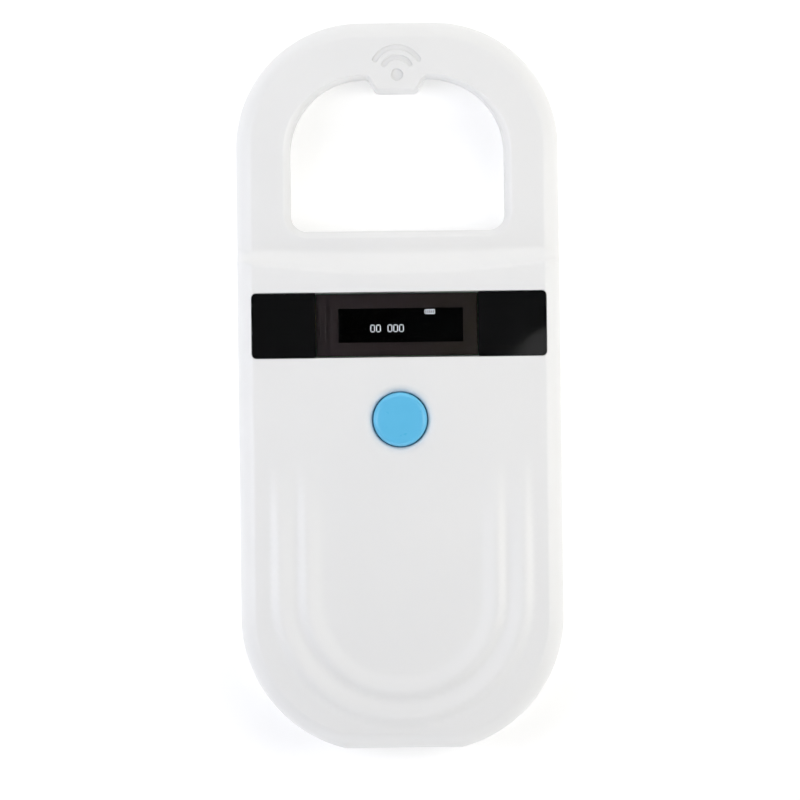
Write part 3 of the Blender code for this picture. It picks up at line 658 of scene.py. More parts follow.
def oled_glass():
    """Dark brown glass, with the lit field nearly black, and painted light on the rest: lighter and cooler at
    the left, darker and warmer at the right.
    """
    look = Paint("oled_glass", (0.018, 0.013, 0.013), 0.12)
    field_x = look.band("X", PANEL_X - 10.9, PANEL_X + 12.3)
    field = look.math("MULTIPLY", field_x, look.band("Y", WINDOW_Y - 3.3, WINDOW_Y + 3.1))
    # painted light: outside the lit field the glass colour runs from lighter and cooler at the left to darker
    # and warmer at the right
    across = look.math("DIVIDE", look.math("ADD", look.axis("X"), 16.0), 32.0, clamp=True)
    left, centre, right = (0.061, 0.047, 0.050), (0.050, 0.036, 0.037), (0.036, 0.031, 0.019)
    light_ramp = look.ramp(across, (0.0, left), (0.5, centre), (1.0, right))
    # random clouds mixed over the painted light across the glass
    painted_light_clouds = look.blend(look.noise(4.0, 2.0), light_ramp, (0.047, 0.036, 0.036))
    look.set("Base Color", look.blend(field, painted_light_clouds, (0.0005, 0.0005, 0.0006)))
    look.gloss(2.5, 0.09, 0.16)
    look.set("Specular IOR Level", 0.25)
    return look.material


def lit_pixel():
    look = Paint("lit_pixel", (0.5, 0.52, 0.55), 0.6)
    light_ramp = look.ramp(look.noise(0.05, 1.0), (0.2, 0.92), (0.8, 1.0))
    look.set("Emission Color", look.blend(light_ramp, (0.60, 0.64, 0.70), (0.80, 0.84, 0.90)))
    look.set("Emission Strength", 1.0)
    return look.material


def plated_steel():
    """Zinc plate: a fine directionless grain with cloudy gloss."""
    look = Paint("plated_steel", (0.62, 0.62, 0.64), 0.3, 0.85)
    look.tint(0.8, (0.50, 0.50, 0.52), (0.66, 0.66, 0.68), 4.0)
    look.gloss(0.5, 0.22, 0.42, 4.0, 0.6, 0.75)
    look.bump(look.noise(0.08, 2.0), 0.003)
    return look.material


def black_plastic():
    look = Paint("black_plastic", (0.02, 0.02, 0.021), 0.5)
    look.tint(2.0, (0.016, 0.016, 0.017), (0.026, 0.026, 0.027))
    look.gloss(0.6, 0.42, 0.58)
    look.bump(look.noise(0.12, 3.0, 0.6), 0.008)
    return look.material


def solder_mask():
    """Green mask over a hatched copper pour, with the glass weave just showing."""
    look = Paint("solder_mask", (0.02, 0.16, 0.06), 0.35)
    diagonal = look.stretched((1 / MM, 1 / MM, 1 / MM), (0.0, 0.0, math.radians(45)))
    sizes = {"Scale": 0.55, "Brick Width": 0.5, "Row Height": 0.5, "Mortar Size": 0.06, "Mortar Smooth": 0.1}
    brick = look.add("ShaderNodeTexBrick", {"Vector": diagonal, **sizes}, offset=0.0)
    tracks = look.ramp(brick.outputs["Fac"], (0.3, 0.0), (0.6, 1.0))
    weave = look.add("ShaderNodeTexWave", {"Vector": look.place, "Scale": 0.35 / MM, "Distortion": 0.4})
    base = look.blend(weave.outputs["Fac"], (0.012, 0.105, 0.042), (0.016, 0.125, 0.05))
    look.set("Base Color", look.blend(tracks, base, (0.035, 0.23, 0.09)))
    look.gloss(1.5, 0.3, 0.42)
    look.bump(tracks, 0.03)
    return look.material


def enamelled_copper():
    """Bundled turns of fine wire, which run along the bundle."""
    look = Paint("enamelled_copper", (0.60, 0.22, 0.08), 0.28, 1.0)
    strands = look.noise(0.35, 2.0, 0.5)
    look.set("Base Color", look.blend(strands, (0.42, 0.13, 0.04), (0.70, 0.28, 0.11)))
    look.gloss(0.6, 0.2, 0.38)
    look.bump(strands, 0.05)
    return look.material


def film(name, low, high, roughness):
    """Thin plastic film with slight ripples."""
    look = Paint(name, low, roughness)
    look.tint(1.6, low, high)
    look.gloss(0.8, roughness - 0.07, roughness + 0.08)
    look.bump(look.noise(1.2), 0.03)
    return look.material


def pouch_foil():
    """Aluminium laminate, dimpled and creased, with painted shade in the creases: its colour is darker where
    the crease bump is low and lighter where it is high.
    """
    look = Paint("pouch_foil", (0.6, 0.61, 0.63), 0.35, 0.85)
    creases = look.noise(3.0, 5.0, 0.65, look.stretched((1.0, 0.4, 1.0)))
    # painted shade and highlight: the same noise as the bump darkens the colour in the creases' hollows and
    # lightens it on their crests
    look.set("Base Color", look.blend(creases, (0.50, 0.51, 0.53), (0.66, 0.67, 0.69)))
    look.gloss(0.9, 0.26, 0.44, 4.0)
    look.bump(creases, 0.12)
    return look.material


def label_film():
    """Brushed silver film with an empty printed frame."""
    look = Paint("label_film", (0.55, 0.56, 0.58), 0.38, 0.35)
    brushed = look.noise(0.35, 3.0, 0.6, look.stretched((0.04, 1.0, 1.0)))
    base = look.blend(brushed, (0.50, 0.51, 0.53), (0.62, 0.63, 0.65))
    margin, half_line = 1.6, 0.12
    half_x, half_y = LABEL_HIGH.x - margin, (LABEL_HIGH.y - LABEL_LOW.y) / 2 - margin
    across = look.band("X", -half_x, half_x)
    along = look.band("Y", LABEL_Y - half_y, LABEL_Y + half_y)
    lines = None
    marks = [("X", side * (half_x - 0.1), along) for side in (-1, 1)]
    marks += [("Y", LABEL_Y + y, across) for y in (0.1 - half_y, half_y - 0.1, 3.4, -2.0)]
    for letter, value, gate in marks:
        line = look.math("MULTIPLY", look.band(letter, value - half_line, value + half_line, 0.04), gate)
        lines = line if lines is None else look.math("MAXIMUM", lines, line)
    look.set("Base Color", look.blend(lines, base, (0.05, 0.05, 0.055)))
    look.set("Roughness", look.ramp(brushed, (0.3, 0.3), (0.7, 0.46)))
    look.bump(brushed, 0.004)
    return look.material


def wire_skin(name, low, high):
    look = Paint(name, low, 0.45)
    look.tint(1.0, low, high)
    look.gloss(0.5, 0.38, 0.52)
    look.bump(look.noise(0.2), 0.01)
    return look.material


# ---------------------------------------------------------------- shells


def rounded_edge(outline, face, width, sign, steps, slopes=(0.0, 90.0)):
    """Stations of a rounded edge from the face out to the side, between two slopes in degrees."""
    return [(outline, inset, lambda x, y, drop=drop: face(x, y) - sign * drop)
            for inset, drop in round_off(width, steps, slopes)]


def shell(name, outer, fillet, sign):
    """Half of the case: a face that follows outer(), rounded edges, walls and a stepped rim."""
    bm = bmesh.new()

    def inner(x, y):
        return outer(x, y) - sign * WALL

    rim_z = PARTING_Z + sign * SEAM_GAP / 2
    step_z = PARTING_Z + LIP_HEIGHT + (LIP_CLEARANCE if sign > 0 else 0.0)
    slack = 0.0 if sign > 0 else LIP_CLEARANCE
    case_edge = rounded_edge(case_outline, outer, fillet, sign, 10, EDGE_SLOPES)
    hole_edge = rounded_edge(rim_outline, outer, HOLE_FILLET, sign, 6, RIM_SLOPES)
    for edge, outline, thickness, lip_inset in (
        (case_edge, case_outline, WALL, LIP_INSET + slack),
        (hole_edge, hole_outline, HOLE_WALL, HOLE_LIP_INSET + slack),
    ):
        stations = edge + rounded_edge(outline, level(rim_z), SEAM_ROUND, -sign, 3)[::-1]
        stations += [(outline, lip_inset, level(z)) for z in (rim_z, step_z)]
        stations += [(outline, thickness, level(step_z))]
        inner_edge = rounded_edge(outline, inner, INNER_FILLET, sign, 3)[::-1]
        stations += [(outline, thickness + inset, height) for _, inset, height in inner_edge]
        wall(bm, stations)
    fill(bm, case_outline(fillet), rim_outline(HOLE_FILLET), 0.85, outer)
    fill(bm, case_outline(WALL + INNER_FILLET), hole_outline(HOLE_WALL + INNER_FILLET), 2.5, inner)
    return make(name, bm, case_white(f"case_white_{name}"))


def seat_z(screw):
    """Where this case screw's head bears in the back shell."""
    return span(screw)[0].z + 1.7


def socket_cutter(bm):
    """The recess for a plug's grip, and the slot behind it, through the charging end."""
    recess = rectangle((0, SOCKET_Z), 11.4, 7.4, 1.6, 5)
    slot = rectangle((0, SOCKET_Z), 8.1, 3.1, 1.2, 5)
    stations = [(recess, 0.8, 0.7), (recess, 0.4, 0.001), (recess, 0.15, -0.12), (recess, 0.03, -0.28)]
    stations += [(recess, 0.0, -0.42), (recess, 0.0, -1.0), (slot, 0.2, -1.0), (slot, 0.06, -1.06)]
    stations += [(slot, 0.0, -1.2), (slot, 0.0, -4.0)]
    skin(bm, [(outline, outset, -LENGTH / 2 - rise) for outline, outset, rise in stations], lying=True)


def front_shell():
    """The front half, with its screw posts, button guide, window pocket, radio sign and socket."""
    made = shell("front_shell", front_height, FRONT_FILLET, 1)
    bm = bmesh.new()
    for name in CASE_SCREWS:
        place = middle(name)
        post(bm, circle(place, 2.0, 32), seat_z(name) + 1.5, front_height(*place) - WALL / 2)
    for name in BOARD_SCREWS:
        place = middle(name)
        post(bm, circle(place, 2.2, 32), BOARD_TOP + 0.1, front_height(*place) - WALL / 2)
    post(bm, circle((0, BUTTON_Y), 7.5, 64), 15.7, THICKNESS - WALL / 2)
    carve(made, "UNION", bm)
    bm = bmesh.new()
    for name in CASE_SCREWS:
        post(bm, circle(middle(name), 1.2, 24), seat_z(name), seat_z(name) + 8.5)
    for name in BOARD_SCREWS:
        place = middle(name)
        post(bm, circle(place, 0.9, 24), BOARD_TOP - 1, front_height(*place) - WALL / 2 - 0.6)
    button_hole(bm)
    window_pocket(bm)
    pit(bm, circle(SIGN_DOT_CENTRE, SIGN_DOT, 32), LOOP_FRONT, SIGN_DOT_DEPTH, SIGN_MOUTH)
    for radius, half in SIGN_ARCS:
        pit(bm, sign_band(radius, half), LOOP_FRONT, SIGN_DEPTH, SIGN_MOUTH)
    socket_cutter(bm)
    carve(made, "DIFFERENCE", bm)
    true_normals(made, front_height, 1)
    settle(made, "white_abs", "front_cover")


def button_hole(bm):
    """The button's hole in a shallow dish and, under it, the wider bore of its guide."""
    radius, bore, above = BUTTON_HOLE_RADIUS, 6.5, THICKNESS + 0.6
    dish_width, flatter = 1.6, 0.625
    profile = [(0, 14.7), (bore, 14.7), (bore, THICKNESS - WALL), (radius, THICKNESS - WALL)]
    dish = round_off(dish_width, 8)[::-1]
    profile += [(radius + inset, THICKNESS - flatter * drop + 1e-3) for inset, drop in dish]
    profile += [(radius + dish_width + 0.3, above), (0, above)]
    lathe(bm, profile, (0, BUTTON_Y), 96)


def window_pocket(bm):
    """The window's pocket, with the opening for the panel through its floor."""
    width, height = (LENS_HIGH - LENS_LOW).xy
    gap, mouth = 2 * WINDOW_GAP, 0.1
    pocket = rectangle((0, WINDOW_Y), width + gap, height + gap, WINDOW_RADIUS + WINDOW_GAP)
    panel = PANEL_HIGH - PANEL_LOW
    opening = rectangle((PANEL_X, WINDOW_Y), panel.x + 0.6, panel.y + 0.3, 0.5)
    stations = [(pocket, mouth + 0.3, THICKNESS + 0.6), (pocket, mouth, THICKNESS + 1e-3)]
    stations += [(pocket, inset, THICKNESS - drop) for inset, drop in round_off(mouth, 3)[1:]]
    stations += [(pocket, 0.0, POCKET_FLOOR), (opening, 0.0, POCKET_FLOOR), (opening, 0.0, 16.0)]
    skin(bm, stations)


def rear_shell():
    """The back half, with its screw bosses, cell ribs, coil rests, label recess and sound holes."""
    made = shell("rear_shell", back_height, BACK_FILLET, -1)
    bm = bmesh.new()
    for name in CASE_SCREWS:
        place = middle(name)
        post(bm, circle(place, 2.7, 32), back_height(*place) + WALL / 2, seat_z(name) + 1.4)
    cell_low, cell_high = span("battery_cell")
    cell_y, clear = middle("battery_cell")[1], 0.9
    rib_x = cell_high.x + clear
    ribs = [(side * rib_x, cell_y + offset, 0.6, 4.0) for side in (-1, 1) for offset in (-14, 14)]
    ribs += [(9.0 * side, cell_low.y - clear, 4.0, 0.6) for side in (-1, 1)]
    for x, y, half_x, half_y in ribs:
        box(bm, (x - half_x, y - half_y, WALL / 2), (x + half_x, y + half_y, 5.0))
    coil_low, coil_high = span("antenna_coil")
    rests = [(side * (coil_high.x - COIL_HALF), 44.0) for side in (-1, 1)]
    rests += [(side * 7.5, coil_high.y - COIL_HALF) for side in (-1, 1)] + [(0.0, coil_low.y + COIL_HALF)]
    for x, y in rests:
        box(bm, (x - 1.5, y - 1.5, back_height(x, y) + WALL / 2), (x + 1.5, y + 1.5, coil_low.z - 0.1))
    carve(made, "UNION", bm)
    bm = bmesh.new()
    for name in CASE_SCREWS:
        screw_recess(bm, name)
    label = rectangle((0, LABEL_Y), 2 * LABEL_HIGH.x + 0.4, LABEL_HIGH.y - LABEL_LOW.y + 0.4, 1.2)
    pit(bm, label, 0.0, 0.3, 0.1, sign=-1)
    for place in sound_places():
        pit(bm, circle(place, 0.6, 20), 0.0, WALL + 1, 0.16, sign=-1)
    socket_cutter(bm)
    carve(made, "DIFFERENCE", bm)
    true_normals(made, back_height, -1)
    settle(made, "white_abs", "rear_cover")


def sound_places():
    """Seven holes under the buzzer: one in the middle and six round it."""
    centre = middle("buzzer")
    return [centre, *circle(centre, 3.0, 6)(0.0)]


def screw_recess(bm, name):
    """The well that a case screw's head drops into, and the hole for its shank."""
    place = middle(name)
    face, seat = back_height(*place), seat_z(name)
    well, hole, mouth = 2.2, 1.3, 0.3
    profile = [(0, face - 0.6), (well + mouth + 0.25, face - 0.6), (well + mouth, face - 1e-3)]
    profile += [(well + inset, face + drop) for inset, drop in round_off(mouth, 4)[1:]]
    profile += [(well, seat), (hole, seat), (hole, seat + 2.4), (0, seat + 2.4)]
    lathe(bm, profile, place, 48)


# ---------------------------------------------------------------- display


def window():
    """A clear slab with its ends inked black from behind."""
    width, height = (LENS_HIGH - LENS_LOW).xy
    outline = rectangle((0, WINDOW_Y), width, height, WINDOW_RADIUS, 8)
    low, high = LENS_LOW.z, LENS_HIGH.z
    rim = [(-inset, high - drop) for inset, drop in round_off(0.12, 3)]
    bm = bmesh.new()
    stack(bm, outline, [(0.0, low), *rim[::-1]])

    def bottom_faces():
        return [face for face in bm.faces if all(abs(vert.co.z - low) < 1e-4 for vert in face.verts)]

    half = (PANEL_HIGH.x - PANEL_LOW.x) / 2 + 0.1
    clear_x = (PANEL_X - half, PANEL_X + half)
    for x in clear_x:
        bottom = bottom_faces()
        around = {part for face in bottom for part in (*face.edges, *face.verts)}
        bmesh.ops.bisect_plane(bm, geom=[*bottom, *around], dist=1e-5, plane_co=(x, 0, 0), plane_no=(1, 0, 0))
    for face in bottom_faces():
        x = face.calc_center_median().x
        face.material_index = 0 if clear_x[0] < x < clear_x[1] else 1
    settle(make("window", bm, clear_acrylic(), print_black()), "black_acrylic", "display_lens")


def oled():
    """Two glass sheets, the driver chip on the ledge between them, and the polariser on top."""
    bm = bmesh.new()
    low, high = PANEL_LOW, PANEL_HIGH
    ledge = low.x + 2.6
    box(bm, low, (high.x, high.y, low.z + 0.68), 0.04)
    box(bm, (ledge, low.y, low.z + 0.66), (high.x, high.y, high.z - 0.1), 0.04)
    box(bm, (low.x + 0.7, low.y + 2.2, low.z + 0.66), (low.x + 1.8, high.y - 2.2, high.z - 0.3), 0.05)
    box(bm, (ledge + 0.5, low.y + 0.4, high.z - 0.12), (high.x - 0.4, high.y - 0.4, high.z), 0.03)
    place_piece("oled_glass", bm, oled_glass(), "panel_glass", "oled_panel", angle=20.0)


ZERO = (".###.", "#...#", "#...#", "#...#", "#...#", "#...#", "#...#", ".###.")
CHARGE = (".##########", "#.#.#.#.#.#", "#.#.#.#.#.#", "#.#.#.#.#.#", ".##########")
DOT_PITCH = 0.178


def dots(bm, pattern, left, top, z):
    """One small raised dot for each mark in the pattern."""
    half = 0.42 * DOT_PITCH
    for row, line in enumerate(pattern):
        for column, mark in enumerate(line):
            if mark != "#":
                continue
            x, y = left + (column + 0.5) * DOT_PITCH, top - (row + 0.5) * DOT_PITCH
            box(bm, (x - half, y - half, z), (x + half, y + half, z + 0.02))


def readout():
    """An empty tag number and the charge sign, lit on the panel."""
    bm = bmesh.new()
    z = PANEL_HIGH.z + 0.01
    cell = 6 * DOT_PITCH
    left = PANEL_X - 1.75 - 3 * cell
    for place in (0, 1, 3, 4, 5):
        dots(bm, ZERO, left + place * cell, WINDOW_Y + 0.05, z)
    dots(bm, CHARGE, PANEL_X + 5.13, WINDOW_Y + 2.79, z)
    place_piece("readout", bm, lit_pixel(), "panel_glass")


# ---------------------------------------------------------------- button


def button():
    """The cap with its rounded rim, its flange and its stem."""
    top, edge = BUTTON_HIGH.z, 0.75
    rim = round_off(edge, 9, (14.0, 90.0))
    profile = [(0, top), (2.2, top), (BUTTON_RADIUS - edge - 0.3, top - 0.004)]
    profile += [(BUTTON_RADIUS - inset, top - 0.008 - drop) for inset, drop in rim]
    flange, flange_low, flange_high = BUTTON_HIGH.x, 17.0, 17.8
    stem, low = 1.7, BUTTON_LOW.z
    profile += [(BUTTON_RADIUS, flange_high + 0.15), (BUTTON_RADIUS + 0.15, flange_high)]
    profile += [(flange - 0.1, flange_high), (flange, flange_high - 0.1), (flange, flange_low)]
    profile += [(stem, flange_low), (stem, low + 0.15), (stem - 0.15, low), (0, low)]
    bm = bmesh.new()
    lathe(bm, profile, (0, BUTTON_Y), 128)
    place_piece("button_cap", bm, button_blue(), "blue_abs", "scan_button", body="scan_button")


# ---------------------------------------------------------------- inner pieces


def screw(name, shank, head_height, pitch, steel):
    """A pan-head screw with a cross drive, driven from the back, and a rolled thread."""
    low, high = span(name)
    x, y = middle(name)
    head, seat, segments = (high.x - low.x) / 2, low.z + head_height, 24
    core, rim = 0.7 * shank, seat - 0.35
    slopes = [math.radians(angle) for angle in (12, 30, 48, 66, 80, 90)]
    plain = [(head * math.sin(slope), rim - (rim - low.z) * math.cos(slope)) for slope in slopes]
    plain += [(head, seat - 0.1), (head - 0.1, seat), (core + 0.15, seat), (core, seat + 0.15)]
    rings = [[(px, py, z) for px, py in circle((x, y), radius, segments)(0.0)] for radius, z in plain]
    for z in np.arange(seat + 0.3, high.z - 0.05, pitch / 6):
        taper = min(1.0, 0.3 + (high.z - z) / 1.6)
        grows = ease((z - seat - 0.3) / 0.6)
        ring = []
        for step in range(segments):
            share = step / segments
            crest = 1 - 1.7 * abs(((z / pitch - share) % 1) - 0.5) * 2
            radius = taper * (core + (shank - core) * grows * max(0.0, crest))
            ring.append((x + radius * math.cos(math.tau * share), y + radius * math.sin(math.tau * share), z))
        rings.append(ring)
    rings.append([(px, py, high.z) for px, py in circle((x, y), 0.2 * core, segments)(0.0)])
    bm = bmesh.new()
    loft(bm, rings, caps=True)
    made = place_piece(f"{name}_steel", bm, steel, "plated_steel", name)
    carve(made, "DIFFERENCE", cross_drive(x, y, low.z, head))
    crease(made.data)


def cross_drive(x, y, face_z, head):
    """The cutter for a cross that narrows into a head of this radius."""
    rings = []
    for rise, arm, half in ((-0.3, 0.68, 0.17), (0.15, 0.58, 0.15), (0.95, 0.2, 0.1)):
        corners = [(arm * head, -half * head), (arm * head, half * head), (half * head, half * head)]
        quarters = [(u * px - v * py, v * px + u * py) for u, v in ((1, 0), (0, 1), (-1, 0), (0, -1))
                    for px, py in corners]
        rings.append([(x + px, y + py, face_z + rise) for px, py in quarters])
    bm = bmesh.new()
    loft(bm, rings, caps=True)
    return bm


def leg(bm, foot, root, width):
    """A gull-wing leg from its foot on the board, (x, y, z), up to its root in the body."""
    foot, root = Vector(foot), Vector(root)
    along = Vector((root.x - foot.x, root.y - foot.y, 0.0))
    side = Vector((-along.y, along.x, 0.0)).normalized() * width / 2
    rise = Vector((0, 0, root.z - foot.z))
    bends = ((0.0, 0.0), (0.35, 0.0), (0.5, 0.15), (0.62, 0.85), (0.75, 1.0))
    line = [foot + along * run + rise * climb for run, climb in bends] + [root]
    thick = Vector((0, 0, 0.16))
    rings = [[point - side, point + side, point + side + thick, point - side + thick] for point in line]
    loft(bm, rings, caps=True)


def chip(name, sides, pitch, epoxy, pins):
    """A moulded body with a pin-one dimple, standing on legs along the given sides."""
    low, high = span(name)
    reach, top = 0.85, high.z
    inset = Vector((reach if "X" in sides else 0.05, reach if "Y" in sides else 0.05, 0.12))
    body_low, body_high = low + inset, Vector((high.x - inset.x, high.y - inset.y, top))
    centre, size = (body_low + body_high) / 2, body_high - body_low
    waist = (body_low.z + top) / 2
    stations = [(-0.12, body_low.z), (0.0, waist - 0.08), (0.0, waist + 0.08)]
    stations += [(-0.12, top - 0.05), (-0.2, top)]
    bm = bmesh.new()
    stack(bm, rectangle((centre.x, centre.y), size.x, size.y, 0.15, 2), stations)
    made = place_piece(f"{name}_body", bm, epoxy, "black_plastic", name)
    bm = bmesh.new()
    pit(bm, circle((body_low.x + 0.8, body_high.y - 0.8), 0.3, 20), top, 0.06, 0.05)
    carve(made, "DIFFERENCE", bm)
    crease(made.data)
    for letter in sides:
        half, run = (size.x / 2, size.y) if letter == "X" else (size.y / 2, size.x)
        count = int((run - 0.6) / pitch)
        foot, root = (half + reach - 0.03, low.z + 0.01), (half - 0.1, waist - 0.08)
        for side in (-1, 1):
            for index in range(count):
                ends, along = [], (index - (count - 1) / 2) * pitch
                for out, z in (foot, root):
                    x, y = (side * out, along) if letter == "X" else (along, side * out)
                    ends.append((centre.x + x, centre.y + y, z))
                leg(pins, *ends, pitch * 0.45)


def end_caps(bm, pins, low, high, cap, edge):
    """A ceramic or film block with metal ends along X: its body in bm, and its ends in pins."""
    low, high = Vector(low), Vector(high)
    inset = Vector((cap * 0.9, 0.03, 0.03))
    box(bm, low + inset, high - inset, edge)
    box(pins, low, (low.x + cap, high.y, high.z), edge)
    box(pins, (high.x - cap, low.y, low.z), high, edge)


# Signs of X and Y in the four corners of a square
QUARTERS = ((-1, -1), (1, -1), (-1, 1), (1, 1))

# The left front corner of each column of small parts on the board
PASSIVE_COLUMNS = (
    (-16.6, -23.0), (-4.6, -23.0), (2.6, -24.0), (15.0, -23.5), (13.2, -49.0), (3.4, -49.5), (-4.2, -48.5),
    (-15.2, -42.0), (14.4, -37.0), (-18.6, -8.0), (17.0, -8.0), (-9.6, -8.5), (8.4, -9.0),
)


def board_chips(steel, black, amber, copper):
    """What is soldered to the board. The chips' legs and the blocks' ends are one piece."""
    pins = bmesh.new()
    chip("controller_chip", "XY", 0.8, black, pins)
    chip("reader_chip", "X", 1.27, black, pins)
    chip("charger_chip", "X", 0.65, black, pins)
    small_passives(pins)
    for name in ("tuning_capacitor_1", "tuning_capacitor_2"):
        block = bmesh.new()
        end_caps(block, pins, *span(name), 0.7, 0.3)
        place_piece(f"{name}_block", block, amber, "amber_film", name)
    test_pads(steel)
    inductor(black, copper)
    crystal(steel)
    tact_switch(pins, steel, black)
    place_piece("board_pins", pins, steel, "plated_steel")


def small_passives(pins):
    """Resistors and ceramic capacitors, in columns of five."""
    blocks = bmesh.new()
    low_z, width, depth, height = BOARD_TOP + 0.03, 1.6, 0.8, 0.7
    for x, first in PASSIVE_COLUMNS:
        for step in range(5):
            y = first + 1.7 * step
            end_caps(blocks, pins, (x, y, low_z), (x + width, y + depth, low_z + height), 0.35, 0.06)
    ceramic = film("ceramic", (0.17, 0.10, 0.06), (0.26, 0.17, 0.10), 0.5)
    place_piece("small_passives", blocks, ceramic, "black_plastic")


def test_pads(steel):
    """Two rows of solder domes, one of them at the charging end."""
    pads = bmesh.new()
    top, bottom = BOARD_TOP + 0.06, BOARD_TOP + 0.01
    for first_x, y, pitch, count in ((-18.0, -11.5, 3.0, 13), (-5.0, -60.5, 2.54, 5)):
        for step in range(count):
            dome = [(0, top), (0.5, top), (0.6, bottom), (0, bottom)]
            lathe(pads, dome, (first_x + pitch * step, y), 20)
    place_piece("test_pads", pads, steel, "plated_steel")


def crystal(steel):
    """A drawn can with round ends, on a thin flange."""
    low, high = span("crystal")
    width, depth = (high - low).xy
    stations = [(0.0, low.z), (0.0, low.z + 0.3), (-0.05, low.z + 0.36), (-0.35, low.z + 0.4)]
    stations += [(-0.35, high.z - 0.5), (-0.42, high.z - 0.22), (-0.6, high.z - 0.06), (-0.85, high.z)]
    can = bmesh.new()
    stack(can, rectangle(middle("crystal"), width, depth, depth / 2 - 0.01, 10), stations)
    place_piece("crystal_can", can, steel, "plated_steel", "crystal")


def inductor(black, copper):
    """A ferrite bobbin: a square foot, a round top, and the winding between them."""
    low, high = span("power_inductor")
    centre, radius = middle("power_inductor"), (high.x - low.x) / 2
    core = bmesh.new()
    slab(core, rectangle(centre, 2 * radius, 2 * radius, 1.2, 6), low.z, low.z + 0.7, 0.1)
    slab(core, circle(centre, radius, 48), high.z - 0.6, high.z, 0.1)
    place_piece("inductor_core", core, black, "black_plastic", "power_inductor")
    turns, steps = 7, 6
    foot, tall = low.z + 0.65, high.z - low.z - 1.2
    profile = [(0, foot)]
    for step in range(turns * steps + 1):
        swell = 0.1 * abs(math.sin(math.pi * step / steps))
        profile.append((radius - 0.6 + swell, foot + tall * step / (turns * steps)))
    winding = bmesh.new()
    lathe(winding, [*profile, (0, foot + tall)], centre, 48)
    place_piece("inductor_winding", winding, copper, "enamelled_copper")


def tact_switch(pins, steel, black):
    """The switch's base and its four legs, its cover, and its plunger in the middle."""
    low, high = span("switch_body")
    (x, y), half = middle("switch_body"), (high.x - low.x) / 2
    base = bmesh.new()
    slab(base, rectangle((x, y), 2 * half - 0.2, 2 * half - 0.2, 0.4, 4), low.z + 0.02, high.z - 0.35, 0.08)
    place_piece("switch_base", base, black, "black_plastic", "switch_body")
    for side_x, side_y in QUARTERS:
        foot = (x + side_x * (half + 1.1), y + side_y * 2.0, low.z)
        root = (x + side_x * (half - 0.3), y + side_y * 2.0, low.z + 0.9)
        leg(pins, foot, root, 0.7)
    switch_cover((x, y), half, high.z, steel)
    low, high = span("switch_plunger")
    radius = (high.x - low.x) / 2
    profile = [(0, low.z), (radius, low.z), (radius, high.z - 0.3), (radius - 0.09, high.z - 0.09)]
    profile += [(radius - 0.3, high.z), (0, high.z)]
    plunger = bmesh.new()
    lathe(plunger, profile, middle("switch_plunger"), 40)
    place_piece("plunger", plunger, black, "black_plastic", "switch_plunger", body="switch_plunger")


def switch_cover(centre, half, top, steel):
    """A square steel plate with a round hole for the plunger, staked down at its corners."""
    bore = span("switch_plunger")[1].x + 0.2
    square, hole = rectangle(centre, 2 * half, 2 * half, 0.5, 11), circle(centre, bore, 48)
    stations = [(hole, 0.1, 0.0), (hole, 0.0, 0.1), (hole, 0.0, 0.3)]
    stations += [(square, 0.0, 0.3), (square, 0.0, 0.12), (square, -0.12, 0.0)]
    rings = []
    for outline, outset, drop in stations:
        ring = outline(outset)
        turns = [math.atan2(y - centre[1], x - centre[0]) for x, y in ring]
        start = turns.index(max(turns)) + 1
        rings.append([(x, y, top - drop) for x, y in ring[start:] + ring[:start]])
    cover = bmesh.new()
    loft(cover, [*rings, rings[0]])
    stud = [(0, top), (0.3, top - 0.02), (0.42, top - 0.12), (0.42, top - 0.2), (0, top - 0.2)]
    for side_x, side_y in QUARTERS:
        lathe(cover, stud, (centre[0] + side_x * (half - 0.85), centre[1] + side_y * (half - 0.85)), 16)
    place_piece("switch_cover", cover, steel, "plated_steel").data.shade_flat()


def socket(steel, black):
    """A drawn shell with a rounded mouth, and a tongue with a row of contacts on each side."""
    low, high = SOCKET_LOW, SOCKET_HIGH
    thick = 0.3
    stations = [(-thick, high.y - thick), (-thick, low.y + 0.15), (-thick * 0.7, low.y + 0.03)]
    stations += [(-thick * 0.3, low.y), (0.0, low.y + 0.12), (0.0, high.y - 0.3), (-0.09, high.y - 0.09)]
    stations += [(-0.3, high.y)]
    can = bmesh.new()
    stack(can, rectangle((0, SOCKET_Z), high.x - low.x, high.z - low.z, 1.1, 8), stations, lying=True)
    place_piece("socket_can", can, steel, "plated_steel", "socket_shell")
    low, high = span("socket_tongue")
    outline = rectangle((0, (low.z + high.z) / 2), high.x - low.x, high.z - low.z, 0.12, 3)
    tongue = bmesh.new()
    slab(tongue, outline, low.y, high.y, 0.12, lying=True)
    place_piece("tongue", tongue, black, "black_plastic", "socket_tongue")
    contacts = bmesh.new()
    for x in np.arange(-1.5, 1.6, 0.5):
        for z in (low.z, high.z):
            box(contacts, (x - 0.13, low.y + 0.35, z - 0.03), (x + 0.13, high.y - 0.4, z + 0.03), 0.015)
    gold = film("contact_gold", (0.75, 0.52, 0.18), (0.85, 0.62, 0.25), 0.25)
    gold.node_tree.nodes["Principled BSDF"].inputs["Metallic"].default_value = 1.0
    place_piece("tongue_contacts", contacts, gold, "plated_steel")


def coil_outline(outset):
    """The coil's path round the loop."""
    low, high = span("antenna_coil")
    end_radius, side_x = 5.0, high.x - COIL_HALF + outset
    end_x, end_y = high.x - COIL_HALF - end_radius, low.y + COIL_HALF + end_radius
    right = arc((end_x, end_y), end_radius + outset, -90, 0, 12)
    right += [(side_x, end_y + (TOP_CENTRE[1] - end_y) * share) for share in (0.25, 0.5, 0.75)]
    right += arc(TOP_CENTRE, side_x - TOP_CENTRE[0], 0, 90, 24)
    return mirrored(right)


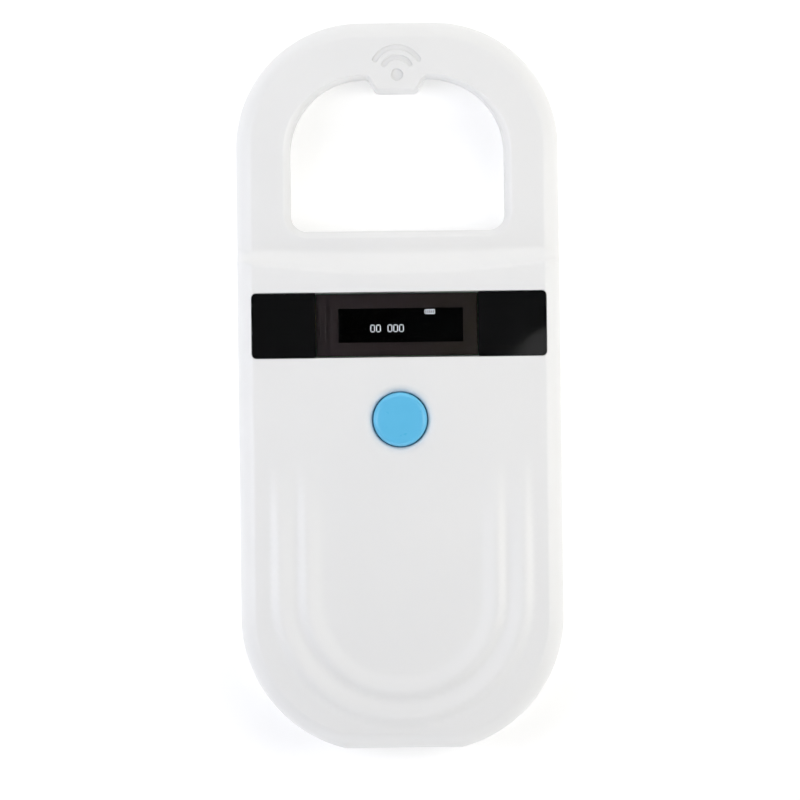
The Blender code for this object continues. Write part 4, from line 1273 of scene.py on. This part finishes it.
def coil(copper):
    """The bundle of turns: every wire on the outside of the bundle shows as its own ridge."""
    low, high = span("antenna_coil")
    across, tall = round(2 * COIL_HALF / COIL_WIRE), round((high.z - low.z) / COIL_WIRE)
    corners = ((-COIL_HALF, low.z, 1, 0, across), (COIL_HALF, low.z, 0, 1, tall),
               (COIL_HALF, high.z, -1, 0, across), (-COIL_HALF, high.z, 0, -1, tall))
    deepest, steps = 0.16, 4
    stations = []
    for start, z, go, climb, count in corners:
        for step in range(count * steps):
            run = step / steps * COIL_WIRE
            off_centre = 2 * (step % steps) / steps - 1
            sink = min(COIL_WIRE / 2 * (1 - math.sqrt(max(0.0, 1 - off_centre ** 2))), deepest)
            height = level(z + climb * run + go * sink)
            stations.append((coil_outline, start + go * run - climb * sink, height))
    bm = bmesh.new()
    wall(bm, [*stations, stations[0]])
    place_piece("coil_turns", bm, copper, "enamelled_copper", "antenna_coil", angle=60.0)


def cell(foil, amber):
    """A pouch with pressed flanks and a folded seam along each side, taped where its leads leave."""
    low, high = span("battery_cell")
    rim = [(-4.0, 0.0), *[(-inset, drop) for inset, drop in round_off(1.5, 5)]]
    stations = [(outset, low.z + rise) for outset, rise in rim]
    stations += [(outset, high.z - drop) for outset, drop in rim[::-1]]
    bm = bmesh.new()
    stack(bm, rectangle(middle("battery_cell"), high.x - low.x - 0.8, high.y - low.y, 1.6, 6), stations)
    for side in (-1, 1):
        edges = sorted((side * (high.x - 0.5), side * high.x))
        box(bm, (edges[0], low.y + 1.0, low.z + 0.7), (edges[1], high.y - 1.0, high.z - 1.2), 0.12)
    place_piece("pouch", bm, foil, "pouch_foil", "battery_cell")
    bm = bmesh.new()
    box(bm, (low.x + 1.5, high.y - 2.6, low.z + 0.35), (high.x - 1.5, high.y - 0.2, high.z - 0.2), 0.35, 3)
    place_piece("pouch_tape", bm, amber, "amber_film")


def buzzer(black):
    """A round case with a rim and a raised sound port on the side that faces the back."""
    low, high = span("buzzer")
    radius, port, step = (high.x - low.x) / 2, 1.5, low.z + 0.15
    profile = [(0, high.z), (radius - 0.2, high.z), (radius, high.z - 0.2), (radius, low.z + 0.5)]
    profile += [(radius - 0.15, step), (radius - 0.5, low.z), (radius - 1.2, low.z), (radius - 1.4, step)]
    profile += [(port + 0.7, step), (port + 0.5, low.z), (port + 0.1, low.z), (port, low.z + 0.1)]
    profile += [(port, low.z + 1.5), (0, low.z + 1.5)]
    bm = bmesh.new()
    lathe(bm, profile, middle("buzzer"), 72)
    place_piece("buzzer_case", bm, black, "black_plastic", "buzzer")


def inner_pieces(steel, black, copper, amber):
    """Everything that the shells hide."""
    for name in CASE_SCREWS:
        screw(name, 1.1, 1.6, 0.9, steel)
    for name in BOARD_SCREWS:
        screw(name, 0.8, 1.2, 0.6, steel)
    board_chips(steel, black, amber, copper)
    socket(steel, black)
    coil(copper)
    cell(pouch_foil(), amber)
    buzzer(black)


# ---------------------------------------------------------------- CAD nodes with better looks


def dress_cad(black, copper, amber):
    """Gives every CAD node that stays its own procedural look."""
    white = case_white("connector_white")
    looks = {
        "main_board": solder_mask(),
        "rear_label": label_film(),
        "battery_lead_red": wire_skin("red_wire", (0.52, 0.015, 0.015), (0.64, 0.03, 0.025)),
        "battery_lead_black": wire_skin("black_wire", (0.015, 0.015, 0.015), (0.03, 0.03, 0.03)),
        "battery_pad": film("foam_pad", (0.03, 0.03, 0.03), (0.06, 0.06, 0.06), 0.8),
        "battery_header": white,
        "battery_plug": white,
        "coil_lead_start": copper,
        "coil_lead_end": copper,
        "oled_flex": amber,
    }
    for name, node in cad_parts.items():
        look = amber if name.startswith("coil_tape") else looks.get(name, black)
        for slot in node.material_slots:
            slot.material = look


# ---------------------------------------------------------------- floor, light and camera


def floor():
    """A wide pale disc just under the object."""
    bm = bmesh.new()
    around = [circle((0, 0), radius, 144)(0.0) for radius in (600, 900, 1300)]
    rings = loft(bm, [[(x, y, -0.02) for x, y in ring] for ring in around])
    bm.faces.new(rings[0])
    look = Paint("floor_white", (0.86, 0.86, 0.86), 0.9)
    look.tint(60.0, (0.85, 0.85, 0.85), (0.87, 0.87, 0.87))
    look.set("Emission Color", (1.0, 1.0, 1.0, 1.0))
    look.set("Emission Strength", 0.3)
    make("floor", bm, look.material)


# Lamps and camera, in metres and watts. The tent's stops are (height, brightness).
TENT_STRENGTH = 1.8
TENT_STOPS = (
    (0.0, 1.0), (0.2, 1.0), (0.3, 0.08), (0.5, 0.08),
    (0.62, 0.035), (0.86, 0.026), (0.955, 0.002), (1.0, 0.002),
)
WARM, COOL = (1.02, 1.0, 0.95), (0.97, 0.985, 1.07)
CAMERA_PLACE = (0.0, -0.0028, 1.25)
CAMERA_TURN = -0.7
VIEW_WIDTH = 0.1496
VIEW_LEVEL = 0.01


def area_light(name, place, size, power, target=(0, 0, 0), shape="RECTANGLE", colour=(1, 1, 1)):
    light = bpy.data.lights.new(name, "AREA")
    light.shape = shape
    light.size, light.size_y = size
    light.energy = power
    light.color = colour
    made = bpy.data.objects.new(name, light)
    made.location = place
    made.rotation_euler = (Vector(target) - Vector(place)).to_track_quat("-Z", "Y").to_euler()
    made.visible_camera = False
    bpy.context.scene.collection.objects.link(made)


def tent():
    """A pale tent of light, bright round the horizon and nearly dark straight above."""
    world = bpy.data.worlds.new("tent")
    bpy.context.scene.world = world
    world.use_nodes = True
    tree = world.node_tree
    tree.nodes.clear()
    kinds = ("ShaderNodeTexCoord", "ShaderNodeSeparateXYZ", "ShaderNodeValToRGB",
             "ShaderNodeBackground", "ShaderNodeOutputWorld")
    place, split, ramp, back, out = (tree.nodes.new(kind) for kind in kinds)
    set_stops(ramp.color_ramp, TENT_STOPS)
    back.inputs["Strength"].default_value = TENT_STRENGTH
    tree.links.new(place.outputs["Generated"], split.inputs[0])
    tree.links.new(split.outputs["Z"], ramp.inputs[0])
    tree.links.new(ramp.outputs[0], back.inputs["Color"])
    tree.links.new(back.outputs[0], out.inputs[0])


def studio():
    """Soft lamps above and beside the object, and a small one for the window's reflection."""
    tent()
    area_light("key", (0.0, 0.3, 0.34), (0.3, 0.16), 0.34, colour=(1.01, 1.0, 0.95))
    area_light("key_near", (0.0, 0.22, 0.16), (0.2, 0.12), 0.049, (0, 0.03, 0.015))
    area_light("fill", (0.0, -1.0, 0.55), (1.0, 0.35), 1.95, colour=(0.985, 0.995, 1.03))
    for side, low, high, colour in ((-1, 0.09, 0.9, COOL), (1, 0.16, 0.74, WARM)):
        area_light("wall_low", (0.2 * side, 0, 0.2), (0.14, 0.3), low, (0, 0, 0.015), colour=colour)
        area_light("wall_high", (0.3 * side, 0, 0.45), (0.2, 0.4), high, (0, 0, 0.015), colour=colour)
    area_light("glint", (0.0522, 0.0036, 0.9), (0.034, 0.034), 0.0018, (0.03, 0, 0), "DISK")
    bpy.context.scene.view_settings.view_transform = "Standard"
    bpy.context.scene.view_settings.look = "None"


def camera():
    """Looks straight down, and sees VIEW_WIDTH across at the height VIEW_LEVEL."""
    lens = bpy.data.cameras.new("camera")
    lens.lens = lens.sensor_width * (CAMERA_PLACE[2] - VIEW_LEVEL) / VIEW_WIDTH
    lens.clip_start, lens.clip_end = 0.01, 20.0
    made = bpy.data.objects.new("camera", lens)
    made.location = CAMERA_PLACE
    made.rotation_euler = (0.0, 0.0, math.radians(CAMERA_TURN))
    bpy.context.scene.collection.objects.link(made)
    bpy.context.scene.camera = made


def main():
    front_shell()
    rear_shell()
    window()
    oled()
    readout()
    button()
    steel, black, copper = plated_steel(), black_plastic(), enamelled_copper()
    amber = film("amber_film", (0.46, 0.20, 0.02), (0.62, 0.32, 0.05), 0.35)
    inner_pieces(steel, black, copper, amber)
    dress_cad(black, copper, amber)
    floor()
    studio()
    camera()


main()
